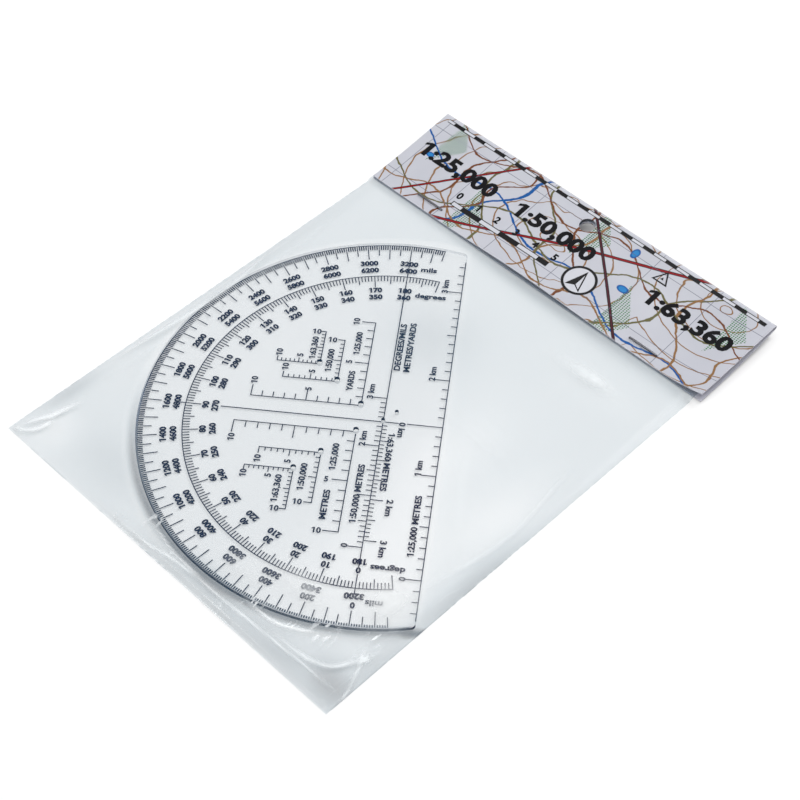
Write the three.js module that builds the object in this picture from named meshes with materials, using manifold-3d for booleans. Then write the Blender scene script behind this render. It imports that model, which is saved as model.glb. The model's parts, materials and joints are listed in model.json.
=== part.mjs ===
// Map protractor in its sales pack. A clear sheet, printed on its underside with a mil circle,
// a degree circle, map scales and romers, lies loose in a film bag. A folded card closes the
// bag's mouth, two staples hold it, and a hole through card and film hangs the pack on a peg.
// Millimetres, +Z up. The pack lies on its back with its card towards +Y, and the origin is under
// the middle of the pack. Plane shapes are drawn with the circles' centre at 0, 0.

import * as THREE from "three";
import { mergeVertices } from "three/addons/utils/BufferGeometryUtils.js";
import Module from "manifold-3d";

const wasm = await Module();
wasm.setup();

// Sheet
const arcRadius = 80;
const edgeOffset = 19.7;
const cornerRadius = 1.5;
const sheetThickness = 1.2;
const centreHoleDiameter = 1.2;
const sightHoleDiameter = 1.2;
const sightHoleX = 4;
const sightHoleY = 3.9;
const romerHoleDiameter = 1.8;

// Print
const inkThickness = 0.05;
const lineWidth = 0.2;
const rimMargin = 0.2;
const holeMargin = 0.1;
const hairline = 0.03;

// Circles
const milStepsInHalfTurn = 64;
const milStepsPast = 3;
const milTick = 4.7;
const milTickLong = 6.5;
const degreesPast = 10;
const degreeTick = 2.3;
const degreeTickFive = 3.6;
const degreeTickTen = 5;
const ringSpacing = 14.7;
const ringStub = 1.9;

// Map scales: what a kilometre and a thousand yards measure at the base scale
const baseScale = 25000;
const kilometreOnMap = 40;
const thousandYardsOnMap = 36.576;
const edgeTick = 1.9;
const edgeTickHalf = 2.8;
const edgeTickLong = 4.8;
const edgeCrossTick = 11.6;
const leftTick = 1.8;
const leftTickHalf = 2.6;
const leftTickLong = 4.4;
const rightTick = 1.5;
const rightTickHalf = 2.6;
const rightTickLong = 4;
const baselineClearance = 2.9;
const crossLineClearance = 6.6;
const crossLineStub = 5;

// How the sheet lies in the bag
const sheetTurn = 37.8;
const arcGapLeft = 4.25;
const arcGapBottom = 7.5;
const underGap = 0.25;
const overGap = 0.3;

// Bag
const filmThickness = 0.1;
const seamWidth = 0.5;
const shoulderWidth = 1.2;
const shoulderClearance = 0.25;
const weldStep = 0.04;
const filmPinch = 0.1;
const rampLength = 2.2;
const rampClearance = 0.4;
const mouthInset = 0.8;

// Card
const cardExtraWidth = 1.95;
const cardOverhang = 2.7;
const cardGap = 5.2;
const cardHeight = 40;
const cardThickness = 0.35;
const cardSkew = 0.6;
const foldRadius = 1;
const foldRise = 4;
const flapBow = 1.2;
const flapLiftLeft = 0.2;
const flapLiftRight = 3;
const cardClearance = 0.05;
const hangHoleDiameter = 6;
const hangHoleInset = 8;
const hangHoleShift = -1;

// Staples
const crownLength = 12;
const wireThickness = 0.5;
const wireWidth = 0.6;
const clinchLength = 4.4;
const bendRadius = 0.4;
const stapleInsetLeft = 24.5;
const stapleInsetRight = 28.2;
const stapleHeight = 4.3;
const stapleHold = 7.5;
const legClearance = 0.1;
const crownClearance = 0.1;

const cutOverrun = 5;

// Rings
const milRingRadius = arcRadius - rimMargin;
const degreeRingRadius = milRingRadius - ringSpacing;
const innerRadius = degreeRingRadius - degreeTickTen;

// Levels
const sheetBottom = filmThickness + underGap + inkThickness;
const sheetTop = sheetBottom + sheetThickness;
const bagCavity = sheetTop + overGap - filmThickness;
const legBed = wireThickness + cardClearance;
const flapGap = 2 * filmThickness + filmPinch + 2 * cardClearance;

// Reach of the sheet inside the bag
const turn = THREE.MathUtils.degToRad(sheetTurn);
const chordHalf = Math.sqrt(arcRadius ** 2 - edgeOffset ** 2);
const rightReach = edgeOffset * Math.cos(turn) + chordHalf * Math.sin(turn);
const topReach = edgeOffset * Math.sin(turn) + chordHalf * Math.cos(turn);
const bagLeft = -arcRadius - arcGapLeft;
const bagBottom = -arcRadius - arcGapBottom;
const bagRight = rightReach + seamWidth + shoulderWidth + shoulderClearance;
const cardWidth = bagRight - bagLeft + cardExtraWidth;
const cardX = bagRight + cardOverhang - cardWidth / 2;
const cardY = topReach + cardGap;
const skew = THREE.MathUtils.degToRad(cardSkew);
const staplePlaces = {
  left: stapleInsetLeft - cardWidth / 2,
  right: cardWidth / 2 - stapleInsetRight,
};

// Colours
const clearSheet = { color: 0xe3eaef, roughness: 0.12, metalness: 0, transparent: true, opacity: 0.45 };
const clearFilm = { color: 0xdbe2e7, roughness: 0.18, metalness: 0, transparent: true, opacity: 0.3 };
const ink = { color: 0x1d1f33, roughness: 0.5, metalness: 0 };
const card = { color: 0xd2d0de, roughness: 0.45, metalness: 0 };
const wire = { color: 0xb4b6bb, roughness: 0.3, metalness: 1 };

function mesh(name, geometry, finish) {
  const piece = new THREE.Mesh(geometry, new THREE.MeshStandardMaterial(finish));
  piece.name = name;
  return piece;
}

function arcPoints(x, y, radius, from, to, steps) {
  return Array.from({ length: steps + 1 }, (_, i) => {
    const angle = from + ((to - from) * i) / steps;
    return [x + radius * Math.cos(angle), y + radius * Math.sin(angle)];
  });
}

// A flat piece of the given outline, with round holes given as [x, y, diameter].
function flatPiece(outline, thickness, holes = [], holeSteps = 16) {
  const shape = new THREE.Shape(outline.map(([x, y]) => new THREE.Vector2(x, y)));
  for (const [x, y, diameter] of holes) {
    const rim = arcPoints(x, y, diameter / 2, 0, 2 * Math.PI, holeSteps).slice(0, -1);
    shape.holes.push(new THREE.Path(rim.map(([a, b]) => new THREE.Vector2(a, b))));
  }
  return new THREE.ExtrudeGeometry(shape, { depth: thickness, bevelEnabled: false });
}

// Sheet: a disc cut by the straight edge, with both corners rounded.
function sheetOutline(arcSteps = 104, cornerSteps = 5) {
  const x = edgeOffset - cornerRadius;
  const y = Math.sqrt((arcRadius - cornerRadius) ** 2 - x ** 2);
  const end = Math.atan2(y, x);
  return [
    ...arcPoints(0, 0, arcRadius, end, 2 * Math.PI - end, arcSteps),
    ...arcPoints(x, -y, cornerRadius, -end, 0, cornerSteps).slice(1),
    ...arcPoints(x, y, cornerRadius, 0, end, cornerSteps).slice(0, -1),
  ];
}

// Print: a line along +Y with teeth, each given as [place along the line, reach from its middle].
function combOutline(from, to, teethRight, teethLeft) {
  const half = lineWidth / 2;
  const tooth = (side) => ([place, reach]) => [
    [side * half, place - side * half],
    [side * reach, place - side * half],
    [side * reach, place + side * half],
    [side * half, place + side * half],
  ];
  const points = [
    [half, from],
    ...teethRight.flatMap(tooth(1)),
    [half, to],
    [-half, to],
    ...teethLeft.toReversed().flatMap(tooth(-1)),
    [-half, from],
  ];
  return points.filter(([x, y], i) => {
    const [u, v] = points[(i + 1) % points.length];
    return Math.hypot(x - u, y - v) > hairline / 2;
  });
}

// Print: a circle's line with a tooth at each angle, from the downward axis round by the left.
function ringOutline(radius, angles, inward, outward) {
  const half = lineWidth / 2;
  const point = (reach, angle, aside) => [
    -reach * Math.sin(angle) - aside * Math.cos(angle),
    -reach * Math.cos(angle) + aside * Math.sin(angle),
  ];
  const last = angles.length - 1;
  const outer = angles.flatMap((angle, i) => {
    if (outward(i) > 0) {
      return [
        point(radius + half, angle, -half),
        point(radius + outward(i), angle, -half),
        point(radius + outward(i), angle, half),
        point(radius + half, angle, half),
      ];
    }
    return [point(radius + half, angle, i === 0 ? -half : i === last ? half : 0)];
  });
  const inner = angles.flatMap((angle, i) => [
    point(radius - half, angle, -half),
    point(radius - inward(i), angle, -half),
    point(radius - inward(i), angle, half),
    point(radius - half, angle, half),
  ]);
  return [...outer, ...inner.toReversed()];
}

// A whole number range, both ends included.
function countUp(from, to) {
  return Array.from({ length: to - from + 1 }, (_, i) => from + i);
}

// One reach for every tenth division, one for every fifth and one for the rest.
function byDivision(number, plain, fifth, tenth) {
  if (number % 10 === 0) return tenth;
  return number % 5 === 0 ? fifth : plain;
}

// A division of a map scale, the tenth part of its kilometre or its thousand yards.
function divisionOnMap(unitOnMap, scale) {
  return (unitOnMap * baseScale) / scale / 10;
}

// Mil circle: a tooth every 50 mils, from some steps before 0 to as many past 3200, the half
// turn, where the tooth runs on down to the degree circle.
function milScale() {
  const steps = countUp(-milStepsPast, milStepsInHalfTurn + milStepsPast);
  const throughLine = milRingRadius - degreeRingRadius - ringStub - hairline;
  const inward = (i) => {
    if (steps[i] === milStepsInHalfTurn) return throughLine;
    return steps[i] % 2 === 0 ? milTickLong : milTick;
  };
  const angles = steps.map((step) => (step * Math.PI) / milStepsInHalfTurn);
  return ringOutline(milRingRadius, angles, inward, () => 0);
}

// Degree circle: a tooth every degree, from some way before 0 to as far past 180.
function degreeScale() {
  const degrees = countUp(-degreesPast, 180 + degreesPast);
  const inward = (i) => byDivision(degrees[i], degreeTick, degreeTickFive, degreeTickTen);
  const outward = (i) => (degrees[i] >= 0 && degrees[i] % 90 === 0 ? ringStub : 0);
  return ringOutline(degreeRingRadius, degrees.map(THREE.MathUtils.degToRad), inward, outward);
}

// Straight edge: 1:25,000, a tooth every 100 m, with the whole kilometres halfway between.
function edgeScale() {
  const step = divisionOnMap(kilometreOnMap, 25000);
  const reach = chordHalf - 2 * cornerRadius;
  const last = Math.floor(reach / step);
  const teeth = countUp(-last, last).map((n) => {
    const plain = byDivision(n, edgeTick, edgeTickLong, edgeTickHalf);
    return [n * step, n === 0 ? edgeCrossTick : plain];
  });
  const x = edgeOffset - rimMargin;
  return combOutline(-reach, reach, [], teeth).map(([u, v]) => [u + x, v]);
}

// Line through the centre: 1:50,000 on its left from 2.5 km below the centre to 0.5 km above it,
// and 1:63,360 on its right from the centre down to 3 km.
function baselineTeeth(from, to) {
  const leftStep = divisionOnMap(kilometreOnMap, 50000);
  const rightStep = divisionOnMap(kilometreOnMap, 63360);
  const inside = ([place]) => place > from + lineWidth && place < to - lineWidth;
  const left = countUp(-25, 5).map((n) => {
    return [n * leftStep, byDivision(n + 25, leftTick, leftTickHalf, leftTickLong)];
  });
  const right = countUp(-30, -1).map((n) => {
    return [n * rightStep, byDivision(n, rightTick, rightTickHalf, rightTickLong)];
  });
  return [right.filter(inside), left.filter(inside)];
}
const centreClear = centreHoleDiameter / 2 + holeMargin;

function baselineLower() {
  const reach = innerRadius - baselineClearance;
  return combOutline(-reach, -centreClear, ...baselineTeeth(-reach, -centreClear));
}

function baselineUpper() {
  const reach = innerRadius - hairline;
  return combOutline(centreClear, reach, ...baselineTeeth(centreClear, reach));
}

// Romers: the two arms of a square corner, ten divisions each, or as many as the degree circle
// leaves room for. The corner is a pencil hole, so the arms start clear of it. Corners are shares
// of the arc's radius, and ticks are shares of a division. Metres run down and yards run up.
const romerKinds = [
  { kind: "metres", unitOnMap: kilometreOnMap, up: -1 },
  { kind: "yards", unitOnMap: thousandYardsOnMap, up: 1 },
];
const romerShares = {
  metres_25000: { corner: [-0.102, -0.064], tick: 0.59 },
  metres_50000: { corner: [-0.2265, -0.188], tick: 0.65 },
  metres_63360: { corner: [-0.323, -0.2835], tick: 0.7 },
  yards_25000: { corner: [-0.101, 0.074], tick: 0.6 },
  yards_50000: { corner: [-0.216, 0.189], tick: 0.66 },
  yards_63360: { corner: [-0.302, 0.2755], tick: 0.76 },
};
const longTickShare = 1.23;
const romers = romerKinds.flatMap(({ kind, unitOnMap, up }) =>
  [25000, 50000, 63360].map((scale) => {
    const shares = romerShares[`${kind}_${scale}`];
    const [x, y] = shares.corner.map((share) => share * arcRadius);
    return { name: `${kind}_${scale}`, division: divisionOnMap(unitOnMap, scale), x, y, up, shares };
  }),
);

function romerArms({ name, division, x, y, up, shares }) {
  const start = romerHoleDiameter / 2 + holeMargin;
  const arm = (farCorner) => {
    const teeth = countUp(1, 10)
      .map((n) => [n * division, division * byDivision(n, shares.tick, longTickShare, longTickShare)])
      .filter((tooth) => Math.hypot(...farCorner(tooth)) < innerRadius - lineWidth);
    const end = teeth.at(-1)[0] + lineWidth / 2;
    return combOutline(start, end, [], teeth.filter(([place]) => place > start + lineWidth));
  };
  const northing = arm(([place, tick]) => [Math.abs(x) + tick, Math.abs(y) + place]);
  const easting = arm(([place, tick]) => [Math.abs(x) + place, Math.abs(y) + tick]);
  return [
    [`${name}_northing`, northing.map(([u, v]) => [x + u, y + up * v])],
    [`${name}_easting`, easting.map(([u, v]) => [x - v, y - up * u])],
  ];
}

function protractor() {
  const group = new THREE.Group();
  const holes = [
    [0, 0, centreHoleDiameter],
    [sightHoleX, sightHoleY, sightHoleDiameter],
    ...romers.map(({ x, y }) => [x, y, romerHoleDiameter]),
  ];
  group.add(mesh("protractor_blank", flatPiece(sheetOutline(), sheetThickness, holes), clearSheet));
  const crossReach = innerRadius - crossLineClearance;
  const crossLeft = combOutline(centreClear, crossReach, [], []).map(([u, v]) => [-v, u]);
  const crossRight = combOutline(centreClear, crossLineStub, [], []).map(([u, v]) => [v, u]);
  const print = [
    ["mil_scale", milScale()],
    ["degree_scale", degreeScale()],
    ["edge_scale", edgeScale()],
    ["baseline_lower", baselineLower()],
    ["baseline_upper", baselineUpper()],
    ["cross_line_left", crossLeft],
    ["cross_line_right", crossRight],
    ...romers.flatMap(romerArms),
  ];
  for (const [name, outline] of print) {
    const layer = mesh(name, flatPiece(outline, inkThickness), ink);
    layer.position.z = -inkThickness;
    group.add(layer);
  }
  group.rotation.z = turn;
  group.position.z = sheetBottom;
  return group;
}

// Solid for cutting, from a closed three.js geometry.
function toSolid(geometry, matrix = new THREE.Matrix4()) {
  const plain = geometry.clone();
  plain.deleteAttribute("normal");
  plain.deleteAttribute("uv");
  const merged = mergeVertices(plain.applyMatrix4(matrix), hairline / 1000);
  return new wasm.Manifold(
    new wasm.Mesh({
      numProp: 3,
      vertProperties: new Float32Array(merged.attributes.position.array),
      triVerts: new Uint32Array(merged.index.array),
    }),
  );
}

function toGeometry(solid) {
  const { vertProperties, triVerts, numProp } = solid.getMesh();
  const geometry = new THREE.BufferGeometry();
  const count = vertProperties.length / numProp;
  const position = new Float32Array(3 * count);
  for (let i = 0; i < count; i += 1) {
    position.set(vertProperties.subarray(i * numProp, i * numProp + 3), 3 * i);
  }
  geometry.setAttribute("position", new THREE.BufferAttribute(position, 3));
  geometry.setIndex(new THREE.BufferAttribute(new Uint32Array(triVerts), 1));
  geometry.computeVertexNormals();
  return geometry;
}

// Skin over rings of points, each ring run round the same way. Ends are closed between the
// ring's first half and its second, which lie over each other.
function skin(rings, closeEnd) {
  const size = rings[0].length;
  const faces = [];
  const quad = (a, b, c, d) => faces.push(a, b, c, a, c, d);
  for (let j = 0; j + 1 < rings.length; j += 1) {
    for (let k = 0; k < size; k += 1) {
      const next = (k + 1) % size;
      quad(j * size + k, j * size + next, (j + 1) * size + next, (j + 1) * size + k);
    }
  }
  const cap = (start, flip) => {
    for (let k = 0; k + 1 < size / 2; k += 1) {
      const corners = [k, size - 1 - k, size - 2 - k, k + 1].map((n) => start + n);
      quad(...(flip ? corners.toReversed() : corners));
    }
  };
  cap(0, false);
  if (closeEnd) cap((rings.length - 1) * size, true);
  return faces;
}

function fromPoints(points, faces) {
  const geometry = new THREE.BufferGeometry();
  geometry.setAttribute("position", new THREE.Float32BufferAttribute(points.flat(), 3));
  geometry.setIndex(faces);
  return geometry;
}

// Card, seen in its own plane: u along its width from the middle, v from its open lower edge up
// to the fold. The back flap curls up towards the fold; the front flap is held down at the staples,
// bows between them and springs up at the free right corner.
const flapReach = cardHeight - foldRadius;

function curl(v) {
  return foldRise * THREE.MathUtils.clamp(v / flapReach, 0, 1) ** 2;
}

function backFlapTop(v) {
  return legBed + curl(v) + cardThickness;
}

function flapSpring(u) {
  const ease = (share) => THREE.MathUtils.clamp(share, 0, 1) ** 2;
  const bowEnds = [staplePlaces.left + stapleHold, staplePlaces.right - stapleHold];
  const share = THREE.MathUtils.clamp((u - bowEnds[0]) / (bowEnds[1] - bowEnds[0]), 0, 1);
  const leftRun = cardWidth / 2 + staplePlaces.left - stapleHold;
  const rightRun = cardWidth / 2 - staplePlaces.right - stapleHold;
  return (
    flapBow * Math.sin(Math.PI * share) ** 2 +
    flapLiftLeft * ease((staplePlaces.left - stapleHold - u) / leftRun) +
    flapLiftRight * ease((u - staplePlaces.right - stapleHold) / rightRun)
  );
}

const foldTop = legBed + foldRise + 2 * foldRadius;
const flapCurveShare = 1.3;

function frontFlapBottom(u, v) {
  const low = legBed + cardThickness + flapGap + flapSpring(u);
  return low + (foldTop - cardThickness - low) * Math.max(v / flapReach, 0) ** flapCurveShare;
}

function cardSection(u, flapSteps = 7, foldSteps = 6) {
  const along = countUp(0, flapSteps).map((n) => (flapReach * n) / flapSteps);
  const quarter = Math.PI / 2;
  const fold = (radius) => {
    return arcPoints(flapReach, foldTop - foldRadius, radius, -quarter, quarter, foldSteps).slice(1, -1);
  };
  const outside = [
    ...along.map((v) => [v, backFlapTop(v) - cardThickness]),
    ...fold(foldRadius),
    ...along.toReversed().map((v) => [v, frontFlapBottom(u, v) + cardThickness]),
  ];
  const inside = [
    ...along.map((v) => [v, backFlapTop(v)]),
    ...fold(foldRadius - cardThickness),
    ...along.toReversed().map((v) => [v, frontFlapBottom(u, v)]),
  ];
  return [...outside, ...inside.toReversed()].map(([v, z]) => [u, v, z]);
}

// Where the card and its staples lie in the pack.
const cardPlace = new THREE.Matrix4().makeRotationZ(skew).setPosition(cardX, cardY, 0);

function cardToPack(u, v) {
  const point = new THREE.Vector3(u, v, 0).applyMatrix4(cardPlace);
  return [point.x, point.y];
}

// Cutters for the hang hole and the staples' legs, in the card's plane.
function punches() {
  const height = foldTop + 2 * cutOverrun;
  const legSize = [wireThickness, wireWidth].map((size) => size + 2 * legClearance);
  const hang = new THREE.CylinderGeometry(hangHoleDiameter / 2, hangHoleDiameter / 2, height, 32);
  hang.rotateX(Math.PI / 2);
  hang.translate(hangHoleShift, cardHeight - hangHoleInset, height / 2 - cutOverrun);
  const cuts = [hang];
  for (const place of Object.values(staplePlaces)) {
    for (const side of [-1, 1]) {
      const leg = new THREE.BoxGeometry(...legSize, height);
      const aside = (crownLength - wireThickness) / 2;
      leg.translate(place + side * aside, stapleHeight, height / 2 - cutOverrun);
      cuts.push(leg);
    }
  }
  return cuts;
}

function punch(geometry, matrix) {
  const holes = punches().map((cut) => toSolid(cut, matrix));
  return toGeometry(holes.reduce((solid, hole) => solid.subtract(hole), toSolid(geometry)));
}

function headerCard(widthSteps = 22) {
  const places = countUp(0, widthSteps).map((n) => cardWidth * (n / widthSteps - 1 / 2));
  const sections = places.map((u) => cardSection(u));
  const faces = skin(sections, true);
  return mesh("header_card", punch(fromPoints(sections.flat(), faces), new THREE.Matrix4()), card);
}

function staple(name, place) {
  const flapTop = frontFlapBottom(place, stapleHeight + wireWidth) + cardThickness;
  const top = flapTop + crownClearance + wireThickness;
  const half = crownLength / 2;
  const inner = half - wireThickness;
  const shape = new THREE.Shape();
  shape.moveTo(half - clinchLength, 0);
  shape.lineTo(half - bendRadius, 0);
  shape.absarc(half - bendRadius, bendRadius, bendRadius, -Math.PI / 2, 0);
  shape.lineTo(half, top - bendRadius);
  shape.absarc(half - bendRadius, top - bendRadius, bendRadius, 0, Math.PI / 2);
  shape.lineTo(bendRadius - half, top);
  shape.absarc(bendRadius - half, top - bendRadius, bendRadius, Math.PI / 2, Math.PI);
  shape.lineTo(-half, bendRadius);
  shape.absarc(bendRadius - half, bendRadius, bendRadius, Math.PI, 1.5 * Math.PI);
  shape.lineTo(clinchLength - half, 0);
  shape.lineTo(clinchLength - half - wireThickness / 2, wireThickness);
  shape.lineTo(-inner, wireThickness);
  shape.lineTo(-inner, top - wireThickness);
  shape.lineTo(inner, top - wireThickness);
  shape.lineTo(inner, wireThickness);
  shape.lineTo(half - clinchLength + wireThickness / 2, wireThickness);
  const bends = { depth: wireWidth, bevelEnabled: false, curveSegments: 4 };
  const geometry = new THREE.ExtrudeGeometry(shape, bends);
  geometry.rotateX(Math.PI / 2);
  geometry.translate(place, stapleHeight + wireWidth / 2, 0);
  return mesh(name, geometry, wire);
}

// Bag: rings across the width, from the bottom seam to the mouth between the card's flaps. The
// film is flat below, rises off its seams by a short shoulder to clear the sheet, and narrows just
// before the card, where it climbs over the back flap.
function bagPoint(x, station, wall, inside) {
  const y = station.y ?? cardToPack(x - cardX, station.v)[1];
  const v = station.v ?? -cardHeight;
  const ramp = THREE.MathUtils.smoothstep(v, -rampLength - rampClearance, -rampClearance);
  const floor = ramp * (backFlapTop(Math.max(v, 0)) + cardClearance);
  const full = THREE.MathUtils.lerp(bagCavity, filmPinch, ramp);
  const inset = Math.min(x - bagLeft, bagRight - x, y - bagBottom) - seamWidth;
  const rise = Math.sin((THREE.MathUtils.clamp(inset / shoulderWidth, 0, 1) * Math.PI) / 2);
  const gap = Math.max(weldStep, full * rise);
  const under = { back: 0, front: filmThickness + gap }[wall];
  const film = inside === (wall === "back") ? filmThickness : 0;
  return [x, y, floor + under + film];
}

const shoulderShares = [0, 0.2, 0.45, 0.75, 1];

function bagRing(station, inside, middleSteps = 4) {
  const rise = shoulderShares.map((share) => seamWidth + share * shoulderWidth);
  const left = rise.map((inset) => bagLeft + inset);
  const right = rise.toReversed().map((inset) => bagRight - inset);
  const flat = bagRight - bagLeft - 2 * (seamWidth + shoulderWidth);
  const middle = countUp(1, middleSteps - 1).map((n) => left.at(-1) + (flat * n) / middleSteps);
  const across = [...left, ...middle, ...right];
  if (!inside) {
    across[0] = bagLeft;
    across[across.length - 1] = bagRight;
  }
  return [
    ...across.map((x) => bagPoint(x, station, "back", inside)),
    ...across.toReversed().map((x) => bagPoint(x, station, "front", inside)),
  ];
}

function polyBag(rampSteps = 5, cardSteps = 7) {
  const rise = shoulderShares.map((share) => ({ y: bagBottom + seamWidth + share * shoulderWidth }));
  const rampShares = countUp(0, rampSteps).map((n) => 1 - n / rampSteps);
  const ramp = rampShares.map((share) => ({ v: -rampClearance - rampLength * share }));
  const mouth = flapReach - mouthInset;
  const underCard = countUp(0, cardSteps).map((n) => ({ v: (mouth * n) / cardSteps }));
  const stations = [...rise, ...ramp, ...underCard];
  const outer = [{ y: bagBottom }, ...stations.slice(1)].map((station) => bagRing(station, false));
  const inner = stations.map((station) => bagRing(station, true));
  const size = outer[0].length;
  const outerPoints = outer.flat();
  const outerFaces = skin(outer, false).toReversed();
  const innerFaces = skin(inner, false).map((n) => n + outerPoints.length);
  const rim = [];
  for (let k = 0; k < size; k += 1) {
    const next = (k + 1) % size;
    const [a, b] = [k, next].map((n) => (outer.length - 1) * size + n);
    const [c, d] = [next, k].map((n) => outerPoints.length + (inner.length - 1) * size + n);
    rim.push(c, b, a, d, c, a);
  }
  const points = [...outerPoints, ...inner.flat()];
  const film = fromPoints(points, [...outerFaces, ...innerFaces, ...rim]);
  return mesh("poly_bag", punch(film, cardPlace), clearFilm);
}

function closure() {
  const group = new THREE.Group();
  group.add(headerCard());
  group.add(staple("left_staple", staplePlaces.left));
  group.add(staple("right_staple", staplePlaces.right));
  group.applyMatrix4(cardPlace);
  return group;
}

const pack = new THREE.Group();
pack.add(protractor(), polyBag(), closure());
const middle = new THREE.Box3().setFromObject(pack, true).getCenter(new THREE.Vector3());
pack.position.set(-middle.x, -middle.y, 0);

const model = new THREE.Group();
model.add(pack);

export default model;
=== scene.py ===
"""Looks of a clear map protractor in its sales pack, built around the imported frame.

The sheet, its lettering and fine graduations, the film bag, the folded card and the staples are
modelled here in the frame's own place. Sizes are in millimetres until a mesh is finished.
"""

from __future__ import annotations

import json
import logging
import math
from contextlib import contextmanager
from dataclasses import dataclass
from enum import Enum
from functools import lru_cache
from typing import Callable, Iterable, Iterator, Sequence

import bpy
from mathutils import Matrix, Vector

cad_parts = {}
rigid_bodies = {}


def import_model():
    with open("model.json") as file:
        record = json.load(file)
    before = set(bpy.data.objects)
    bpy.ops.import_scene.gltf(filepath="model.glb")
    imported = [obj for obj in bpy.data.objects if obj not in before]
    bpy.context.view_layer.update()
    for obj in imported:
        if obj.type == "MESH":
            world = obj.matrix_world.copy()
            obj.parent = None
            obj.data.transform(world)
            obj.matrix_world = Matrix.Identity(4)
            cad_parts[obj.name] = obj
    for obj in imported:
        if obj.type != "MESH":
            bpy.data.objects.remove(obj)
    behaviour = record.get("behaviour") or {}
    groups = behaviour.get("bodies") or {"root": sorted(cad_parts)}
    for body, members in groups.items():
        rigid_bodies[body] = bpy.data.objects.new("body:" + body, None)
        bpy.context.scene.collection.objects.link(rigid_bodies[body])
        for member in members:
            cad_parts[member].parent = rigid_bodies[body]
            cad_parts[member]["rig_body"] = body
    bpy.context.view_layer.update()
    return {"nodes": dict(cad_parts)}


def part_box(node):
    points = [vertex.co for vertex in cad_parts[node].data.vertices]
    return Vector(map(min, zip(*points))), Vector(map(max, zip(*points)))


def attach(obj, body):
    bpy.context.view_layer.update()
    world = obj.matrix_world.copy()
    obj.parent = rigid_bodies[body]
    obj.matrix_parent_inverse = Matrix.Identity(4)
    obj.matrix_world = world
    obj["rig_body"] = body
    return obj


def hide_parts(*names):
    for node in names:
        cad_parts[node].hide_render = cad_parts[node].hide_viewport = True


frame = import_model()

MM = 0.001
MERGE = 0.002  # Points nearer than this, in millimetres, become one.
HALF_CIRCLE = 3200  # Half a circle, in mils.
log = logging.getLogger("protractor")

Colour = tuple[float, float, float]
Spot = tuple[float, float, float]
Place = tuple[float, float]


class Body(Enum):
    """The two bodies that the pieces ride on."""

    PACK = "pack"
    PROTRACTOR = "protractor"


class Slot(Enum):
    """The record's material slots."""

    SHEET = "clear_sheet"
    PRINT = "print"
    FILM = "clear_film"
    CARD = "printed_card"
    WIRE = "staple_wire"


class Reads(Enum):
    """Which way a word on the sheet reads, as a turn in degrees."""

    RIGHT = 0.0
    UP = 90.0
    LEFT = 180.0
    DOWN = 270.0


@lru_cache(maxsize=None)
def corners(name: str) -> tuple[Vector, Vector]:
    """Gives the lowest and highest corners of one of the frame's nodes, in millimetres."""
    low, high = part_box(name)
    return Vector(low) / MM, Vector(high) / MM


# Modelling helpers


def deselect() -> None:
    """Leaves nothing selected, so that an operator acts on the new piece alone."""
    if bpy.context.mode != "OBJECT":
        bpy.ops.object.mode_set(mode="OBJECT")
    bpy.ops.object.select_all(action="DESELECT")


def pick(pieces: Iterable[bpy.types.Object]) -> None:
    """Selects these objects and makes the first one active.

    Args:
        pieces: the objects that the next operator works on.
    """
    deselect()
    for number, piece in enumerate(pieces):
        piece.select_set(True)
        if number == 0:
            bpy.context.view_layer.objects.active = piece


def named(name: str) -> bpy.types.Object:
    """Gives the active object and its mesh a name.

    Args:
        name: the piece's name.

    Returns:
        The active object.
    """
    piece = bpy.context.view_layer.objects.active
    piece.name = name
    piece.data.name = name
    return piece


@contextmanager
def editing(choose: Callable[[bpy.types.MeshPolygon], bool] | None = None) -> Iterator[None]:
    """Opens the active mesh in edit mode, and closes it again.

    Args:
        choose: tells which faces are selected, or None for the whole mesh.

    Yields:
        Nothing; operators run inside.
    """
    bpy.ops.object.mode_set(mode="EDIT")
    bpy.ops.mesh.select_all(action="SELECT")
    if choose:
        bpy.ops.mesh.select_mode(type="FACE")
        bpy.ops.mesh.select_all(action="DESELECT")
        bpy.ops.object.mode_set(mode="OBJECT")
        for face in bpy.context.object.data.polygons:
            face.select = choose(face)
        bpy.ops.object.mode_set(mode="EDIT")
    yield
    bpy.ops.object.mode_set(mode="OBJECT")


def settle(piece: bpy.types.Object, matrix: Matrix) -> None:
    """Moves a finished mesh to its place, and leaves its object at the origin.

    Args:
        piece: the object, drawn in millimetres.
        matrix: where it goes, still in millimetres.
    """
    piece.data.transform(Matrix.Scale(MM, 4) @ matrix @ piece.matrix_basis)
    piece.matrix_basis = Matrix.Identity(4)
    piece.data.update()


def with_modifier(piece: bpy.types.Object, kind: str, **settings: object) -> None:
    """Adds a modifier and applies it.

    Args:
        piece: the object.
        kind: the modifier's type.
        settings: the modifier's own settings.
    """
    modifier = piece.modifiers.new(kind.title(), kind)
    for name, value in settings.items():
        setattr(modifier, name, value)
    pick([piece])
    bpy.ops.object.modifier_apply(modifier=modifier.name)


def eased(piece: bpy.types.Object, width: float, segments: int, angle: float) -> None:
    """Takes the sharp edges off a mesh.

    Args:
        piece: the object.
        width: how broad the eased edge is.
        segments: how many faces it has across.
        angle: edges that turn by more than this, in degrees, are eased.
    """
    limits = {"limit_method": "ANGLE", "angle_limit": math.radians(angle)}
    with_modifier(piece, "BEVEL", width=width, segments=segments, **limits)


def cut_away(piece: bpy.types.Object, tool: bpy.types.Object) -> None:
    """Takes one solid out of another, and removes it.

    Args:
        piece: the object that is cut.
        tool: the solid that cuts it.
    """
    with_modifier(piece, "BOOLEAN", object=tool, operation="DIFFERENCE", solver="EXACT")
    bpy.data.objects.remove(tool)


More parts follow.
